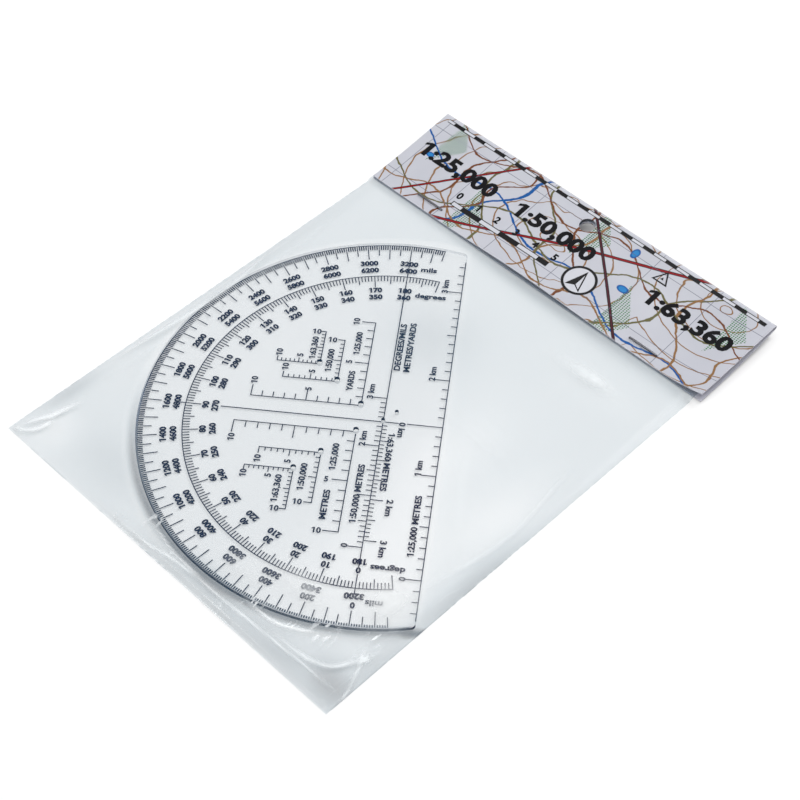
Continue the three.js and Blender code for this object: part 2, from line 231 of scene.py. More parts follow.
def rod(name: str, steps: int, radius: float, depth: float, place: Spot) -> bpy.types.Object:
    """Adds an upright cylinder.

    Args:
        name: what it is called.
        steps: how many sides it has.
        radius: its radius.
        depth: its length.
        place: its middle.

    Returns:
        The cylinder.
    """
    deselect()
    bpy.ops.mesh.primitive_cylinder_add(vertices=steps, radius=radius, depth=depth, location=place)
    return named(name)


def smooth(piece: bpy.types.Object, angle: float) -> None:
    """Shades a piece smooth where its faces meet at less than an angle, in degrees."""
    pick([piece])
    bpy.ops.object.shade_smooth_by_angle(angle=math.radians(angle))


def joined(pieces: Sequence[bpy.types.Object], name: str) -> bpy.types.Object:
    """Joins objects into the first one.

    Args:
        pieces: the objects.
        name: the joined piece's name.

    Returns:
        The joined object.
    """
    pick(pieces)
    bpy.ops.object.join()
    return named(name)


def copied(piece: bpy.types.Object, matrix: Matrix) -> bpy.types.Object:
    """Copies a piece with a mesh of its own.

    Args:
        piece: the object to copy.
        matrix: where the copy goes from there.

    Returns:
        The copy.
    """
    twin = piece.copy()
    twin.data = piece.data.copy()
    twin.data.transform(matrix)
    bpy.context.scene.collection.objects.link(twin)
    return twin


def own_copy(node: str, name: str) -> bpy.types.Object:
    """Copies one of the frame's nodes in millimetres, with its split points merged.

    Args:
        node: the frame's node.
        name: the copy's name.

    Returns:
        The copy, which is selected.
    """
    piece = copied(frame["nodes"][node], Matrix.Scale(1 / MM, 4))
    piece.parent = None
    for key in list(piece.keys()):
        del piece[key]
    pick([piece])
    with editing():
        bpy.ops.mesh.remove_doubles(threshold=MERGE)
    return named(name)


def shaped_grid(
    name: str,
    columns: int,
    rows: int,
    shape: Callable[[float, float], Vector],
    flip: bool = False,
) -> bpy.types.Object:
    """Adds a grid and lays its points on a curved surface.

    Args:
        name: the piece's name.
        columns: steps across.
        rows: steps along.
        shape: gives a point for the shares across and along, each from 0 to 1.
        flip: True if the surface's outside is its underside.

    Returns:
        The grid as an object, in millimetres.
    """
    deselect()
    bpy.ops.mesh.primitive_grid_add(x_subdivisions=columns, y_subdivisions=rows, size=2)
    piece = named(name)
    for vertex in piece.data.vertices:
        vertex.co = shape((vertex.co.x + 1) / 2, (vertex.co.y + 1) / 2)
    if flip:
        piece.data.flip_normals()
    piece.data.update()
    return piece


def dress(piece: bpy.types.Object, *materials: bpy.types.Material) -> None:
    """Gives a piece its materials, slot by slot.

    Args:
        piece: the object.
        materials: one material per slot.
    """
    piece.data.materials.clear()
    for material in materials:
        piece.data.materials.append(material)


def finished(piece: bpy.types.Object, body: Body, slot: Slot, *replaced: str) -> None:
    """Hands a finished piece to the frame.

    Args:
        piece: the object.
        body: what it rides on.
        slot: the material slot that it stands for; not used.
        replaced: the frame's nodes that it stands for.
    """
    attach(piece, body.value)
    if replaced:
        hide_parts(*replaced)
    log.info("%s: %d faces, rides on %s", piece.name, len(piece.data.polygons), body.value)


def ease(share: float) -> float:
    """Runs smoothly from 0 to 1 as share does."""
    held = min(max(share, 0.0), 1.0)
    return held * held * (3 - 2 * held)


def mil_angle(mils: int) -> float:
    """Turns mils into degrees."""
    return mils * 180 / HALF_CIRCLE


def blend(low: float, high: float, share: float) -> float:
    """Gives the value that lies the eased share of the way from low to high."""
    return low + (high - low) * ease(share)


# Shader maths


class Value:
    """A number in a node graph. Arithmetic on it adds Math nodes."""

    def __init__(self, paint: Graph, socket: bpy.types.NodeSocket) -> None:
        """Wraps a socket.

        Args:
            paint: the graph that the socket is in.
            socket: the socket that gives the number.
        """
        self.paint = paint
        self.socket = socket

    def __add__(self, other: Value | float) -> Value:
        """Adds."""
        return self.paint.math("ADD", self, other)

    def __sub__(self, other: Value | float) -> Value:
        """Takes away."""
        return self.paint.math("SUBTRACT", self, other)

    def __rsub__(self, other: float) -> Value:
        """Takes this from a number."""
        return self.paint.math("SUBTRACT", other, self)

    def __mul__(self, other: Value | float) -> Value:
        """Multiplies."""
        return self.paint.math("MULTIPLY", self, other)

    def __truediv__(self, other: Value | float) -> Value:
        """Divides."""
        return self.paint.math("DIVIDE", self, other)

    def __abs__(self) -> Value:
        """Gives the size without the sign."""
        return self.paint.math("ABSOLUTE", self)

    def __gt__(self, other: Value | float) -> Value:
        """Gives 1 where this is the larger."""
        return self.paint.math("GREATER_THAN", self, other)

    def wave(self) -> Value:
        """Gives the sine."""
        return self.paint.math("SINE", self)

    def fraction(self) -> Value:
        """Gives what is past the whole number."""
        return self.paint.math("FRACT", self)

    def least(self, other: Value | float) -> Value:
        """Gives the smaller of two."""
        return self.paint.math("MINIMUM", self, other)

    def most(self, other: Value | float) -> Value:
        """Gives the larger of two."""
        return self.paint.math("MAXIMUM", self, other)

    def held(self) -> Value:
        """Keeps the number between 0 and 1."""
        return self.least(1.0).most(0.0)

    def below(self, edge: Value | float, soft: float) -> Value:
        """Gives 1 where this lies under an edge, with a border as wide as soft."""
        return ((edge - self) / soft + 0.5).held()

    def near(self, middle: Value | float, half: float, soft: float) -> Value:
        """Gives 1 in a band, from its middle, half of its width and its border's width."""
        return abs(self - middle).below(half, soft)

    def every(self, step: float, half: float, soft: float) -> Value:
        """Gives 1 in a line at each step, half as wide as half, with a border as wide as soft."""
        return (abs((self / step).fraction() - 0.5) * step).below(half, soft)


Tint = Colour | bpy.types.NodeSocket


class Graph:
    """A node graph, emptied."""

    def __init__(self, tree: bpy.types.NodeTree) -> None:
        """Empties a node tree and wraps it.

        Args:
            tree: the tree.
        """
        self.tree = tree
        self.tree.nodes.clear()

    def node(
        self,
        kind: str,
        settings: dict[str, object] | None = None,
        inputs: dict[str | int, object] | None = None,
    ) -> bpy.types.Node:
        """Adds a node.

        Args:
            kind: the node's type.
            settings: its own settings, which are set first.
            inputs: the value, socket or Value of each input.

        Returns:
            The node.
        """
        made = self.tree.nodes.new(kind)
        for name, value in (settings or {}).items():
            setattr(made, name, value)
        for key, value in (inputs or {}).items():
            source = value.socket if isinstance(value, Value) else value
            if isinstance(source, bpy.types.NodeSocket):
                self.tree.links.new(source, made.inputs[key])
            else:
                made.inputs[key].default_value = source
        return made

    def math(self, operation: str, first: Value | float, second: Value | float = 0.0) -> Value:
        """Adds a Math node, and gives what its operation makes of the two numbers."""
        made = self.node("ShaderNodeMath", {"operation": operation}, {0: first, 1: second})
        return Value(self, made.outputs[0])

    def backdrop(self) -> Value:
        """Gives 1 for rays that show a background: the camera's, and those in gloss or glass."""
        path = self.node("ShaderNodeLightPath")
        kinds = ("Camera", "Glossy", "Transmission")
        camera, glossy, through = (Value(self, path.outputs[f"Is {kind} Ray"]) for kind in kinds)
        return camera.most(glossy).most(through)


class Paint(Graph):
    """The node graph of one material, with one Principled shader."""

    def __init__(self, name: str) -> None:
        """Starts a material.

        Args:
            name: the material's name.
        """
        self.material = bpy.data.materials.new(name)
        self.material.use_nodes = True
        super().__init__(self.material.node_tree)
        self.shader = self.node("ShaderNodeBsdfPrincipled")
        self.node("ShaderNodeOutputMaterial", inputs={"Surface": self.shader.outputs[0]})
        self.place = self.node("ShaderNodeTexCoord").outputs["Object"]

    def set(self, **inputs: object) -> None:
        """Sets or links the shader's sockets, named with underscores for spaces."""
        for name, value in inputs.items():
            socket = self.shader.inputs[name.replace("_", " ")]
            source = value.socket if isinstance(value, Value) else value
            if isinstance(source, bpy.types.NodeSocket):
                self.tree.links.new(source, socket)
            elif isinstance(source, tuple) and len(source) == 3:
                socket.default_value = (*source, 1.0)
            else:
                socket.default_value = source

    def plan(self, origin: Place = (0, 0), turn: float = 0.0) -> tuple[Value, Value, Value]:
        """Gives the place in millimetres, in a frame laid on the piece.

        Args:
            origin: that frame's origin, in millimetres.
            turn: its turn in degrees.

        Returns:
            X, Y and Z.
        """
        moved = self.node(
            "ShaderNodeMapping",
            {"vector_type": "TEXTURE"},
            {
                "Vector": self.place,
                "Location": (origin[0] * MM, origin[1] * MM, 0.0),
                "Rotation": (0.0, 0.0, math.radians(turn)),
                "Scale": (MM, MM, MM),
            },
        )
        parts = self.node("ShaderNodeSeparateXYZ", inputs={0: moved.outputs[0]})
        return tuple(Value(self, socket) for socket in parts.outputs)

    def noise(self, size: float, detail: float = 2.0, stretch: Spot = (1, 1, 1)) -> Value:
        """Adds noise.

        Args:
            size: the size of its patches, in millimetres.
            detail: how many finer layers it has.
            stretch: how many times finer it is along each axis.

        Returns:
            The noise, about 0.5 in the middle.
        """
        scale = tuple(share / MM / size for share in stretch)
        scaled = self.node("ShaderNodeMapping", inputs={"Vector": self.place, "Scale": scale})
        inputs = {"Vector": scaled.outputs[0], "Scale": 1.0, "Detail": detail}
        made = self.node("ShaderNodeTexNoise", inputs=inputs)
        return Value(self, made.outputs["Fac"])

    def painted(self, name: str) -> Value:
        """Reads a value that the mesh carries on its points."""
        made = self.node("ShaderNodeAttribute", {"attribute_name": name})
        return Value(self, made.outputs["Fac"])

    def grey(self, value: Value) -> bpy.types.NodeSocket:
        """Gives the grey of a value."""
        return self.over((0.0, 0.0, 0.0), value, (1.0, 1.0, 1.0))

    def over(self, under: Tint, mask: Value, colour: Tint) -> bpy.types.NodeSocket:
        """Lays a colour over another.

        Args:
            under: what shows where the mask is 0.
            mask: how much of the new colour shows.
            colour: the new colour.

        Returns:
            The mixed colour.
        """
        mixed = self.node("ShaderNodeMix", {"data_type": "RGBA"}, {"Factor": mask})
        for name, tint in (("A_Color", under), ("B_Color", colour)):
            socket = next(s for s in mixed.inputs if s.identifier == name)
            if isinstance(tint, bpy.types.NodeSocket):
                self.tree.links.new(tint, socket)
            else:
                socket.default_value = (*tint, 1.0)
        return next(s for s in mixed.outputs if s.identifier == "Result_Color")

    def bump(self, height: Value, depth: float) -> None:
        """Roughens the surface with a relief from 0 to 1, its depth in millimetres."""
        made = self.node("ShaderNodeBump", inputs={"Height": height, "Distance": depth * MM})
        self.set(Normal=made.outputs[0])


# Places on the sheet


@dataclass(frozen=True)
class Lie:
    """How the sheet lies in the pack: the circles' centre, its turn and how far it slides."""

    radius: float = 80.0
    edge: float = 19.7
    corner: float = 1.5
    turn: float = 37.8
    travel: tuple[float, float] = (-5.5, 2.5)
    stops: tuple[float, ...] = (0.0, 0.35, 0.7, 1.0)

    def centre(self) -> Place:
        """Gives the place of the circles' centre."""
        low, _ = corners("protractor_blank")
        return (low.x + self.radius, low.y + self.radius)

    def matrix(self, level: float = 0.0) -> Matrix:
        """Gives the way, in millimetres, from the sheet's own plan to a level in the pack."""
        x, y = self.centre()
        return Matrix.Translation((x, y, level)) @ Matrix.Rotation(math.radians(self.turn), 4, "Z")

    def outside(self, x: float, y: float) -> float:
        """Gives how far a point is from the ground that the sheet covers as it slides.

        Args:
            x: the point's place in the pack.
            y: the same.

        Returns:
            The distance, which is negative over the sheet.
        """
        turn = math.radians(self.turn)
        cx, cy = self.centre()
        low, high = self.travel
        reach = []
        for share in self.stops:
            dx, dy = x - cx, y - cy - low - (high - low) * share
            across = dx * math.cos(turn) + dy * math.sin(turn)
            reach.append(max(math.hypot(dx, dy) - self.radius, across - self.edge))
        return min(reach)


LIE = Lie()


# Finishes


def lower_rim(paint: Paint) -> tuple[Value, Value]:
    """Finds the side of the sheet's arc that faces the pack's lower right, where the edge's dark
    reflection is painted.

    Args:
        paint: the material's graph.

    Returns:
        How far a point is towards that side, from 0 to 1, and its distance from the centre.
    """
    right, down, starts, fades = 0.66, 0.75, 0.2, 0.4
    x, y, _ = paint.plan(LIE.centre())
    reach = paint.math("SQRT", x * x + y * y)
    return (((x * right - y * down) / LIE.radius + starts) / fades).held(), reach


@dataclass(frozen=True)
class ClearSheet:
    """Polished clear plastic with faint smears, and a painted dark reflection of its edge along the
    rim on the lower right.
    """

    tint: Colour = (0.12, 0.18, 0.36)
    smeared: Colour = (0.50, 0.58, 0.74)
    # edge is the colour of the painted dark reflection along the rim, and rim how wide that band
    # is.
    edge: Colour = (0.008, 0.010, 0.050)
    rim: float = 0.55
    rim_alpha: float = 0.96
    body: float = 0.016
    smear_alpha: float = 0.014
    smear_size: float = 38
    scuff_size: float = 2.6
    scuff_depth: float = 0.004
    gloss_index: float = 3.0

    def material(self) -> bpy.types.Material:
        """Makes the material of the sheet's faces."""
        paint = Paint("clear_sheet")
        lower, reach = lower_rim(paint)
        # Painted dark reflection of the edge, in a band along the rim on the lower right.
        rim = (reach > LIE.radius - self.rim) * lower
        smears = paint.noise(self.smear_size, 3, (1, 2.2, 1))
        scuffs = paint.noise(self.scuff_size, 2)
        colour = paint.over(self.tint, smears, self.smeared)
        paint.set(
            Base_Color=paint.over(colour, rim, self.edge),
            Alpha=(smears * self.smear_alpha + self.body).most(rim * self.rim_alpha),
            Roughness=smears * 0.1 + 0.07,
            IOR=self.gloss_index,
        )
        paint.bump(scuffs, self.scuff_depth)
        return paint.material


@dataclass(frozen=True)
class SheetEdge:
    """The sheet's cut edge, with a painted dark reflection of the print on the lower side of its
    arc.
    """

    pale: Colour = (0.26, 0.31, 0.42)
    # dark is the colour of the painted dark reflection on the lower arc, and of the painted shade
    # in the holes.
    dark: Colour = (0.006, 0.008, 0.042)
    dark_alpha: float = 0.84
    saw_alpha: float = 0.14
    least_alpha: float = 0.16
    saw_size: float = 2.5
    saw_depth: float = 0.02
    shine: float = 0.1
    rim: float = 1.0
    holes_within: float = 50.0

    def finish(self, name: str, dark: Callable[[Paint], Value]) -> bpy.types.Material:
        """Makes an edge material.

        Args:
            name: the material's name.
            dark: gives how much of the painted darkness the edge gets.

        Returns:
            The material.
        """
        paint = Paint(name)
        depth = dark(paint)
        saw = paint.noise(self.saw_size, 2, (1, 1, 0.1))
        alpha = depth * self.dark_alpha + saw * self.saw_alpha + self.least_alpha
        paint.set(
            Base_Color=paint.over(self.pale, depth, self.dark),
            Alpha=alpha.held(),
            Roughness=saw * 0.2 + 0.45,
            Specular_IOR_Level=self.shine,
        )
        paint.bump(saw, self.saw_depth)
        return paint.material

    def material(self) -> bpy.types.Material:
        """Makes the material of the outer edge and of the holes' near walls."""

        def dark(paint: Paint) -> Value:
            """Paints the dark reflection on the lower arc alone."""
            lower, reach = lower_rim(paint)
            return lower * (reach > LIE.radius - self.rim)

        return self.finish("sheet_edge", dark)

    def hole_material(self) -> bpy.types.Material:
        """Makes the material of the holes' far walls, painted dark as shade."""
        return self.finish("shaded_hole_wall", lambda paint: paint.noise(1.2) * 0.2 + 0.85)


@dataclass(frozen=True)
class Ink:
    """Blue-black screen ink, a little uneven where the mesh held less."""

    full: Colour = (0.002, 0.002, 0.022)
    thin: Colour = (0.009, 0.009, 0.060)
    patch_size: float = 1.4
    shine: float = 0.08
    relief: float = 0.01

    def material(self, name: str = "screen_ink") -> bpy.types.Material:
        """Makes the material of print.

        Args:
            name: the material's name.

        Returns:
            The material.
        """
        paint = Paint(name)
        patchy = paint.noise(self.patch_size, 3)
        paint.set(
            Base_Color=paint.over(self.full, ((patchy - 0.5) * 3).held(), self.thin),
            Roughness=patchy * 0.3 + 0.45,
            Specular_IOR_Level=self.shine,
        )
        paint.bump(patchy, self.relief)
        return paint.material


@lru_cache(maxsize=None)
def rounded(points: tuple[Place, ...], steps: int = 5) -> tuple[Place, ...]:
    """Rounds a line off, through all of its points.

    Args:
        points: the line's points.
        steps: how many pieces each stretch gets.

    Returns:
        The points of the rounded line.
    """
    ends = (points[0], *points, points[-1])
    made: list[Place] = []
    for four in zip(ends, ends[1:], ends[2:], ends[3:]):
        for step in range(steps):
            t = step / steps
            place = []
            for a, b, c, d in zip(*four):
                square, cube = 2 * a - 5 * b + 4 * c - d, 3 * b - a - 3 * c + d
                place.append(0.5 * (2 * b + (c - a) * t + square * t**2 + cube * t**3))
            made.append(tuple(place))
    return (*made, points[-1])


@dataclass(frozen=True)
class Fold:
    """A line that the film keeps, raised, partly whitened and given a painted highlight."""

    path: tuple[Place, ...]
    height: float
    width: float
    whiten: float = 0.0

    def near(self, x: float, y: float, spread: float = 1.0) -> float:
        """Gives 1 on the line, falling to 0 beside it and towards its ends.

        Args:
            x: the place in the pack.
            y: the same.
            spread: how many times the line's own width it reaches.

        Returns:
            The share.
        """
        reach = 3 * self.width * spread
        for place, along in zip((x, y), zip(*self.path)):
            if not min(along) - reach < place < max(along) + reach:
                return 0.0
        line = rounded(self.path)
        best, at = math.inf, 0.0
        for number, ((ax, ay), (bx, by)) in enumerate(zip(line, line[1:])):
            dx, dy = bx - ax, by - ay
            share = min(max(((x - ax) * dx + (y - ay) * dy) / (dx * dx + dy * dy), 0.0), 1.0)
            away = math.hypot(x - ax - share * dx, y - ay - share * dy)
            if away < best:
                best, at = away, (number + share) / (len(line) - 1)
        if best > reach:
            return 0.0
        return math.exp(-((best / self.width / spread) ** 2)) * ease(4 * at) * ease(4 * (1 - at))


@dataclass(frozen=True)
class Patch:
    """A soft patch on the film, of painted shade, of film made clearer, or of painted highlight."""

    x: float
    y: float
    wide: float
    tall: float
    depth: float

    def at(self, x: float, y: float) -> float:
        """Gives the depth at a point, in millimetres of the pack."""
        across, along = (x - self.x) / self.wide, (y - self.y) / self.tall
        return self.depth * math.exp(-(across**2) - along**2)


@dataclass(frozen=True)
class Film:
    """Glossy clear film, partly whitened and given painted highlights along its folds, with painted
    shade where it hangs free.
    """

    tint: Colour = (0.02, 0.20, 0.31)
    # shaded is the colour of the painted shade.
    shaded: Colour = (0.006, 0.050, 0.090)
    # white is the colour of both the whitening along folds and the painted highlights and glints.
    white: Colour = (0.97, 0.99, 1.0)
    body: float = 0.057
    haze_alpha: float = 0.03
    shade_alpha: float = 0.5
    least_alpha: float = 0.015
    white_alpha: float = 0.92
    haze_size: float = 55
    fine_size: float = 5.5
    jag_size: float = 1.5
    jag_level: float = 0.53
    jag_edge: float = 12
    relief: float = 0.035
    gloss_index: float = 1.7

    def material(self) -> bpy.types.Material:
        """Makes the material of the bag, which reads the film's own attributes."""
        paint = Paint("clear_film")
        # Whitening along folds with painted highlights, read from the mesh.
        white = paint.painted("whitening_and_highlight")
        # The film's opacity with painted shade, and painted brightening where it is negative.
        shade = paint.painted("shade")
        jags = paint.noise(self.jag_size, 2, (1, 0.35, 1)) - self.jag_level
        # Painted glints where the film is crinkled, broken up by jagged noise.
        jagged = (jags * self.jag_edge).held() * paint.painted("crinkle_glint")
        haze = paint.noise(self.haze_size, 2, (1, 0.6, 1))
        fine = paint.noise(self.fine_size, 3, (1, 0.5, 1))
        white = (white * (fine * 0.8 + 0.4)).most(jagged)
        clear = haze * self.haze_alpha + self.body + shade * self.shade_alpha
        clear = clear.most(self.least_alpha)
        veil = white * self.white_alpha
        # Painted shade turns the film's colour towards shaded.
        colour = paint.over(self.tint, (shade * 2 - 0.2).held(), self.shaded)
        paint.set(
            Base_Color=paint.over(colour, veil / (veil + clear), self.white),
            Alpha=(clear + veil).held(),
            Roughness=fine * 0.18 + 0.05,
            IOR=self.gloss_index,
        )
        paint.bump(fine, self.relief)
        return paint.material


@dataclass(frozen=True)
class CardStock:
    """Coated white card with a little tooth."""

    tint: Colour = (0.58, 0.58, 0.66)
    pale: Colour = (0.66, 0.66, 0.73)
    tooth_size: float = 0.6
    relief: float = 0.012

    def material(self, name: str = "card_stock") -> bpy.types.Material:
        """Makes the material of the card's bare inside and cut edges.

        Args:
            name: the material's name.

        Returns:
            The material.
        """
        paint = Paint(name)
        tooth = paint.noise(self.tooth_size, 3)
        paint.set(
            Base_Color=paint.over(self.tint, tooth, self.pale),
            Roughness=tooth * 0.2 + 0.5,
        )
        paint.bump(tooth, self.relief)
        return paint.material


@dataclass(frozen=True)
class StapleWire:
    """Dull drawn wire with brighter streaks."""

    tint: Colour = (0.015, 0.015, 0.018)
    bright: Colour = (0.22, 0.22, 0.24)
    streak_size: float = 0.8
    relief: float = 0.006

    def material(self) -> bpy.types.Material:
        """Makes the material of the staples."""
        paint = Paint("staple_wire")
        drawn = paint.noise(self.streak_size, 2, (0.1, 4, 4))
        paint.set(
            Base_Color=paint.over(self.tint, drawn, self.bright),
            Metallic=1.0,
            Roughness=drawn * 0.22 + 0.14,
        )
        paint.bump(drawn, self.relief)
        return paint.material


@dataclass(frozen=True)
class Course:
    """A winding line on the map: across = start + lean * along, with a swing to each side."""

    start: float
    lean: float
    bend: float
    length: float
    half: float
    upright: bool = False

    def off(self, u: Value, v: Value, wander: Value) -> Value:
        """Gives the distance from the line.

        Args:
            u: the place along the card.
            v: the place up the card.
            wander: moves the line about a little.

        Returns:
            The distance, about in millimetres.
        """
        along, across = (v, u) if self.upright else (u, v)
        swing = (along * (math.tau / self.length) + self.start).wave() * self.bend
        steep = math.hypot(1.0, abs(self.lean) + self.bend * math.pi / self.length)
        return abs(across - self.start - along * self.lean - swing + wander) / steep


@dataclass(frozen=True)
class MapPrint:
    """A generic map on the card: hills, tracks, roads, rivers, woods, a grid and a scale bar."""

    stock: Colour = (0.45, 0.46, 0.52)
    pale: Colour = (0.58, 0.59, 0.64)
    brown: Colour = (0.15, 0.050, 0.020)
    ochre: Colour = (0.24, 0.125, 0.050)
    olive: Colour = (0.12, 0.11, 0.045)
    red: Colour = (0.24, 0.006, 0.010)
    maroon: Colour = (0.055, 0.006, 0.014)
    blue: Colour = (0.008, 0.085, 0.30)
    water: Colour = (0.02, 0.20, 0.50)
    green: Colour = (0.015, 0.16, 0.025)
    grey: Colour = (0.085, 0.09, 0.14)
    black: Colour = (0.003, 0.003, 0.004)
    soft: float = 0.14
    hill_step: float = 7.4
    hill_line: float = 0.22
    dot_pitch: Place = (0.92, 0.8)
    dot_size: float = 0.33
    grid_step: float = 25
    grid_line: float = 0.1
    wander: float = 0.3
    casing: float = 0.55
    border: float = 37.2
    border_half: float = 73
    bar_level: float = 9.4
    bar_start: float = 22.5
    field: float = 18
    north_place: Place = (13, 11.5)
    mark_place: Place = (34, 30.5)
    tooth_size: float = 0.7
    relief: float = 0.008
    tracks: tuple[Course, ...] = (
        Course(-58.0, 0.35, 2.6, 27.0, 0.38, True),
        Course(-31.0, -0.30, 3.4, 35.0, 0.42, True),
        Course(-12.0, 0.55, 2.2, 22.0, 0.36, True),
        Course(12.0, -0.42, 3.0, 30.0, 0.42, True),
        Course(30.0, 0.65, 2.6, 26.0, 0.38, True),
        Course(57.0, -0.25, 3.6, 33.0, 0.42, True),
        Course(-47.0, 0.48, 2.4, 19.0, 0.34, True),
        Course(2.0, -0.55, 2.8, 24.0, 0.36, True),
        Course(69.0, 0.30, 2.2, 20.0, 0.36, True),
    )
    lanes: tuple[Course, ...] = (
        Course(31.0, -0.10, 4.5, 44.0, 0.32),
        Course(17.0, 0.12, 5.5, 57.0, 0.36),
        Course(4.5, -0.05, 3.5, 38.0, 0.32),
    )
    roads: tuple[Course, ...] = (
        Course(20.0, 0.42, 0.6, 90.0, 0.62),
        Course(38.0, -1.05, 0.5, 70.0, 0.56, True),
        Course(-66.0, 0.80, 0.5, 66.0, 0.50, True),
    )
    rivers: tuple[Course, ...] = (
        Course(-44.0, 0.55, 1.8, 21.0, 0.46, True),
        Course(12.5, -0.20, 3.2, 47.0, 0.38),
    )
    lakes: tuple[tuple[float, float, float, float], ...] = (
        (20.0, 33.0, 1.5, 2.3),
        (26.5, 18.5, 2.4, 1.5),
        (-67.0, 21.0, 1.7, 1.2),
    )
    woods: tuple[tuple[float, float, float], ...] = (
        (-62.0, 30.0, 6.0),
        (-36.0, 8.5, 6.5),
        (6.5, 30.0, 6.0),
        (33.5, 7.5, 7.0),
        (68.0, 27.0, 6.0),
    )

    def land(self, paint: Paint, u: Value, v: Value) -> bpy.types.NodeSocket:
        """Draws hills, woods, water, tracks, roads and the grid.

        Args:
            paint: the material's graph.
            u: the place along the card.
            v: the place up the card.

        Returns:
            The colour.
        """
        soft = self.soft
        wobble = (paint.noise(12, 2) - 0.5) * 8
        ragged = (paint.noise(3.2, 2) - 0.5) * 1.6
        colour = paint.over(self.stock, paint.noise(26, 2), self.pale)
        rise = (u + 5 + wobble) * 0.75
        hill = paint.math("SQRT", rise * rise + (v - 18 - wobble) * (v - 18 - wobble) * 1.5)
        far = (u - 60 + wobble) * 0.9
        hill = hill.least(paint.math("SQRT", far * far + (v - 34) * (v - 34) * 1.3) + 2)
        contours = (hill + ragged * 0.4).every(self.hill_step, self.hill_line, soft)
        colour = paint.over(colour, contours, self.ochre)
        dots = (u / self.dot_pitch[0]).fraction() - 0.5
        rows = (v / self.dot_pitch[1]).fraction() - 0.5
        stipple = paint.math("SQRT", dots * dots + rows * rows).below(self.dot_size, 0.2)
        wood = None
        for east, north, size in self.woods:
            patch = ((u - east) * 1.3 + abs(v - north) + wobble * 0.35).below(size, 0.3)
            patch = patch * ((u - east) + size * 0.8 + ragged > 0)
            wood = patch if wood is None else wood.most(patch)
        colour = paint.over(colour, wood * stipple, self.green)
        for course in self.rivers:
            off = course.off(u, v, ragged)
            colour = paint.over(colour, off.below(course.half, soft), self.blue)
        for number, course in enumerate(self.tracks + self.lanes):
            tint = (self.brown, self.olive, self.ochre)[number % 3]
            off = course.off(u, v, ragged + wobble * self.wander)
            colour = paint.over(colour, off.below(course.half, soft), tint)
        for number, course in enumerate(self.roads):
            tint = (self.red, self.maroon)[number % 2]
            off = course.off(u, v, ragged * 0.15)
            colour = paint.over(colour, off.below(course.half, soft), self.black)
            colour = paint.over(colour, off.below(course.half * self.casing, soft), tint)
        for east, north, half_long, half_high in self.lakes:
            a, b = (u - east + ragged * 0.3) / half_long, (v - north) / half_high
            lake = paint.math("SQRT", a * a + b * b)
            colour = paint.over(colour, lake.below(1.0, 0.12), self.blue)
            colour = paint.over(colour, lake.below(0.68, 0.15), self.water)
        lines = [place.every(self.grid_step, self.grid_line, soft) for place in (u + 9, v + 5)]
        return paint.over(colour, lines[0].most(lines[1]) * 0.9, self.grey)

    def furniture(
        self, paint: Paint, u: Value, v: Value, colour: bpy.types.NodeSocket
    ) -> bpy.types.NodeSocket:
        """Draws the map's border, its scale bar, a height mark and a north arrow.

        Args:
            paint: the material's graph.
            u: the place along the card.
            v: the place up the card.
            colour: what is drawn already.

        Returns:
            The colour.
        """
        width = u.near(0, self.border_half, 0.2)
        colour = paint.over(colour, v.near(self.border, 0.8, 0.2) * width, self.black)
        checks = (u / 10).fraction() > 0.5
        colour = paint.over(colour, v.near(self.border, 0.5, 0.12) * width * checks, self.pale)
        bar = v.near(self.bar_level, 1.1, 0.2) * u.near(-self.bar_start, 22.7, 0.2)
        colour = paint.over(colour, bar, self.black)
        fields = ((u + self.bar_start) / self.field).fraction() > 0.5
        fields = v.near(self.bar_level, 0.75, 0.15) * u.near(-self.bar_start, 22.3, 0.15) * fields
        colour = paint.over(colour, fields, self.pale)
        east, north = u - self.north_place[0], v - self.north_place[1]
        ring = paint.math("SQRT", east * east + north * north)
        colour = paint.over(colour, ring.below(6.3, 0.2), self.pale)
        colour = paint.over(colour, ring.near(5.9, 0.5, 0.15), self.black)
        arrow = abs(east) * 3.0 + north
        notch = abs(east) * 0.55 + north + 2.5
        colour = paint.over(colour, arrow.below(5.0, 0.3) * (notch > 0), self.black)
        light = arrow.below(3.4, 0.2) * (notch > 0.45) * (east > 0.15)
        colour = paint.over(colour, light, self.pale)
        right, up = abs(u - self.mark_place[0]), v - self.mark_place[1]
        height = (right * 1.732 + up).most(up * -2.0) * 0.5
        mark = height.near(1.6, 0.3, 0.15).most(height.below(0.4, 0.2))
        return paint.over(colour, mark, self.black)

    def material(self, name: str, origin: Place, turn: float, front: bool) -> bpy.types.Material:
        """Makes the printed side of the card.

        Args:
            name: the material's name.
            origin: the middle of the card's lower edge.
            turn: the card's turn in degrees.
            front: True where the border, scale bar and north arrow are printed too.

        Returns:
            The material.
        """
        paint = Paint(name)
        u, v, _ = paint.plan(origin, turn)
        colour = self.land(paint, u, v)
        if front:
            colour = self.furniture(paint, u, v, colour)
        # Paler along the lower edge, and a painted highlight along the fold's crest.
        pale_edge_and_fold_highlight = v.below(0.3, 0.4).most(v.near(39.7, 0.7, 0.9) * 0.7)
        colour = paint.over(colour, pale_edge_and_fold_highlight * paint.noise(3, 2), self.pale)
        tooth = paint.noise(self.tooth_size, 3)
        paint.set(
            Base_Color=colour,
            Roughness=tooth * 0.1 + 0.2,
            Specular_IOR_Level=0.18,
        )
        paint.bump(tooth, self.relief)
        return paint.material


# Lettering on the sheet


@dataclass(frozen=True)
class Word:
    """A word on the sheet's plan, centred on its place; width is measured along its reading."""

    text: str
    x: float
    y: float
    reads: Reads
    width: float = 0.0


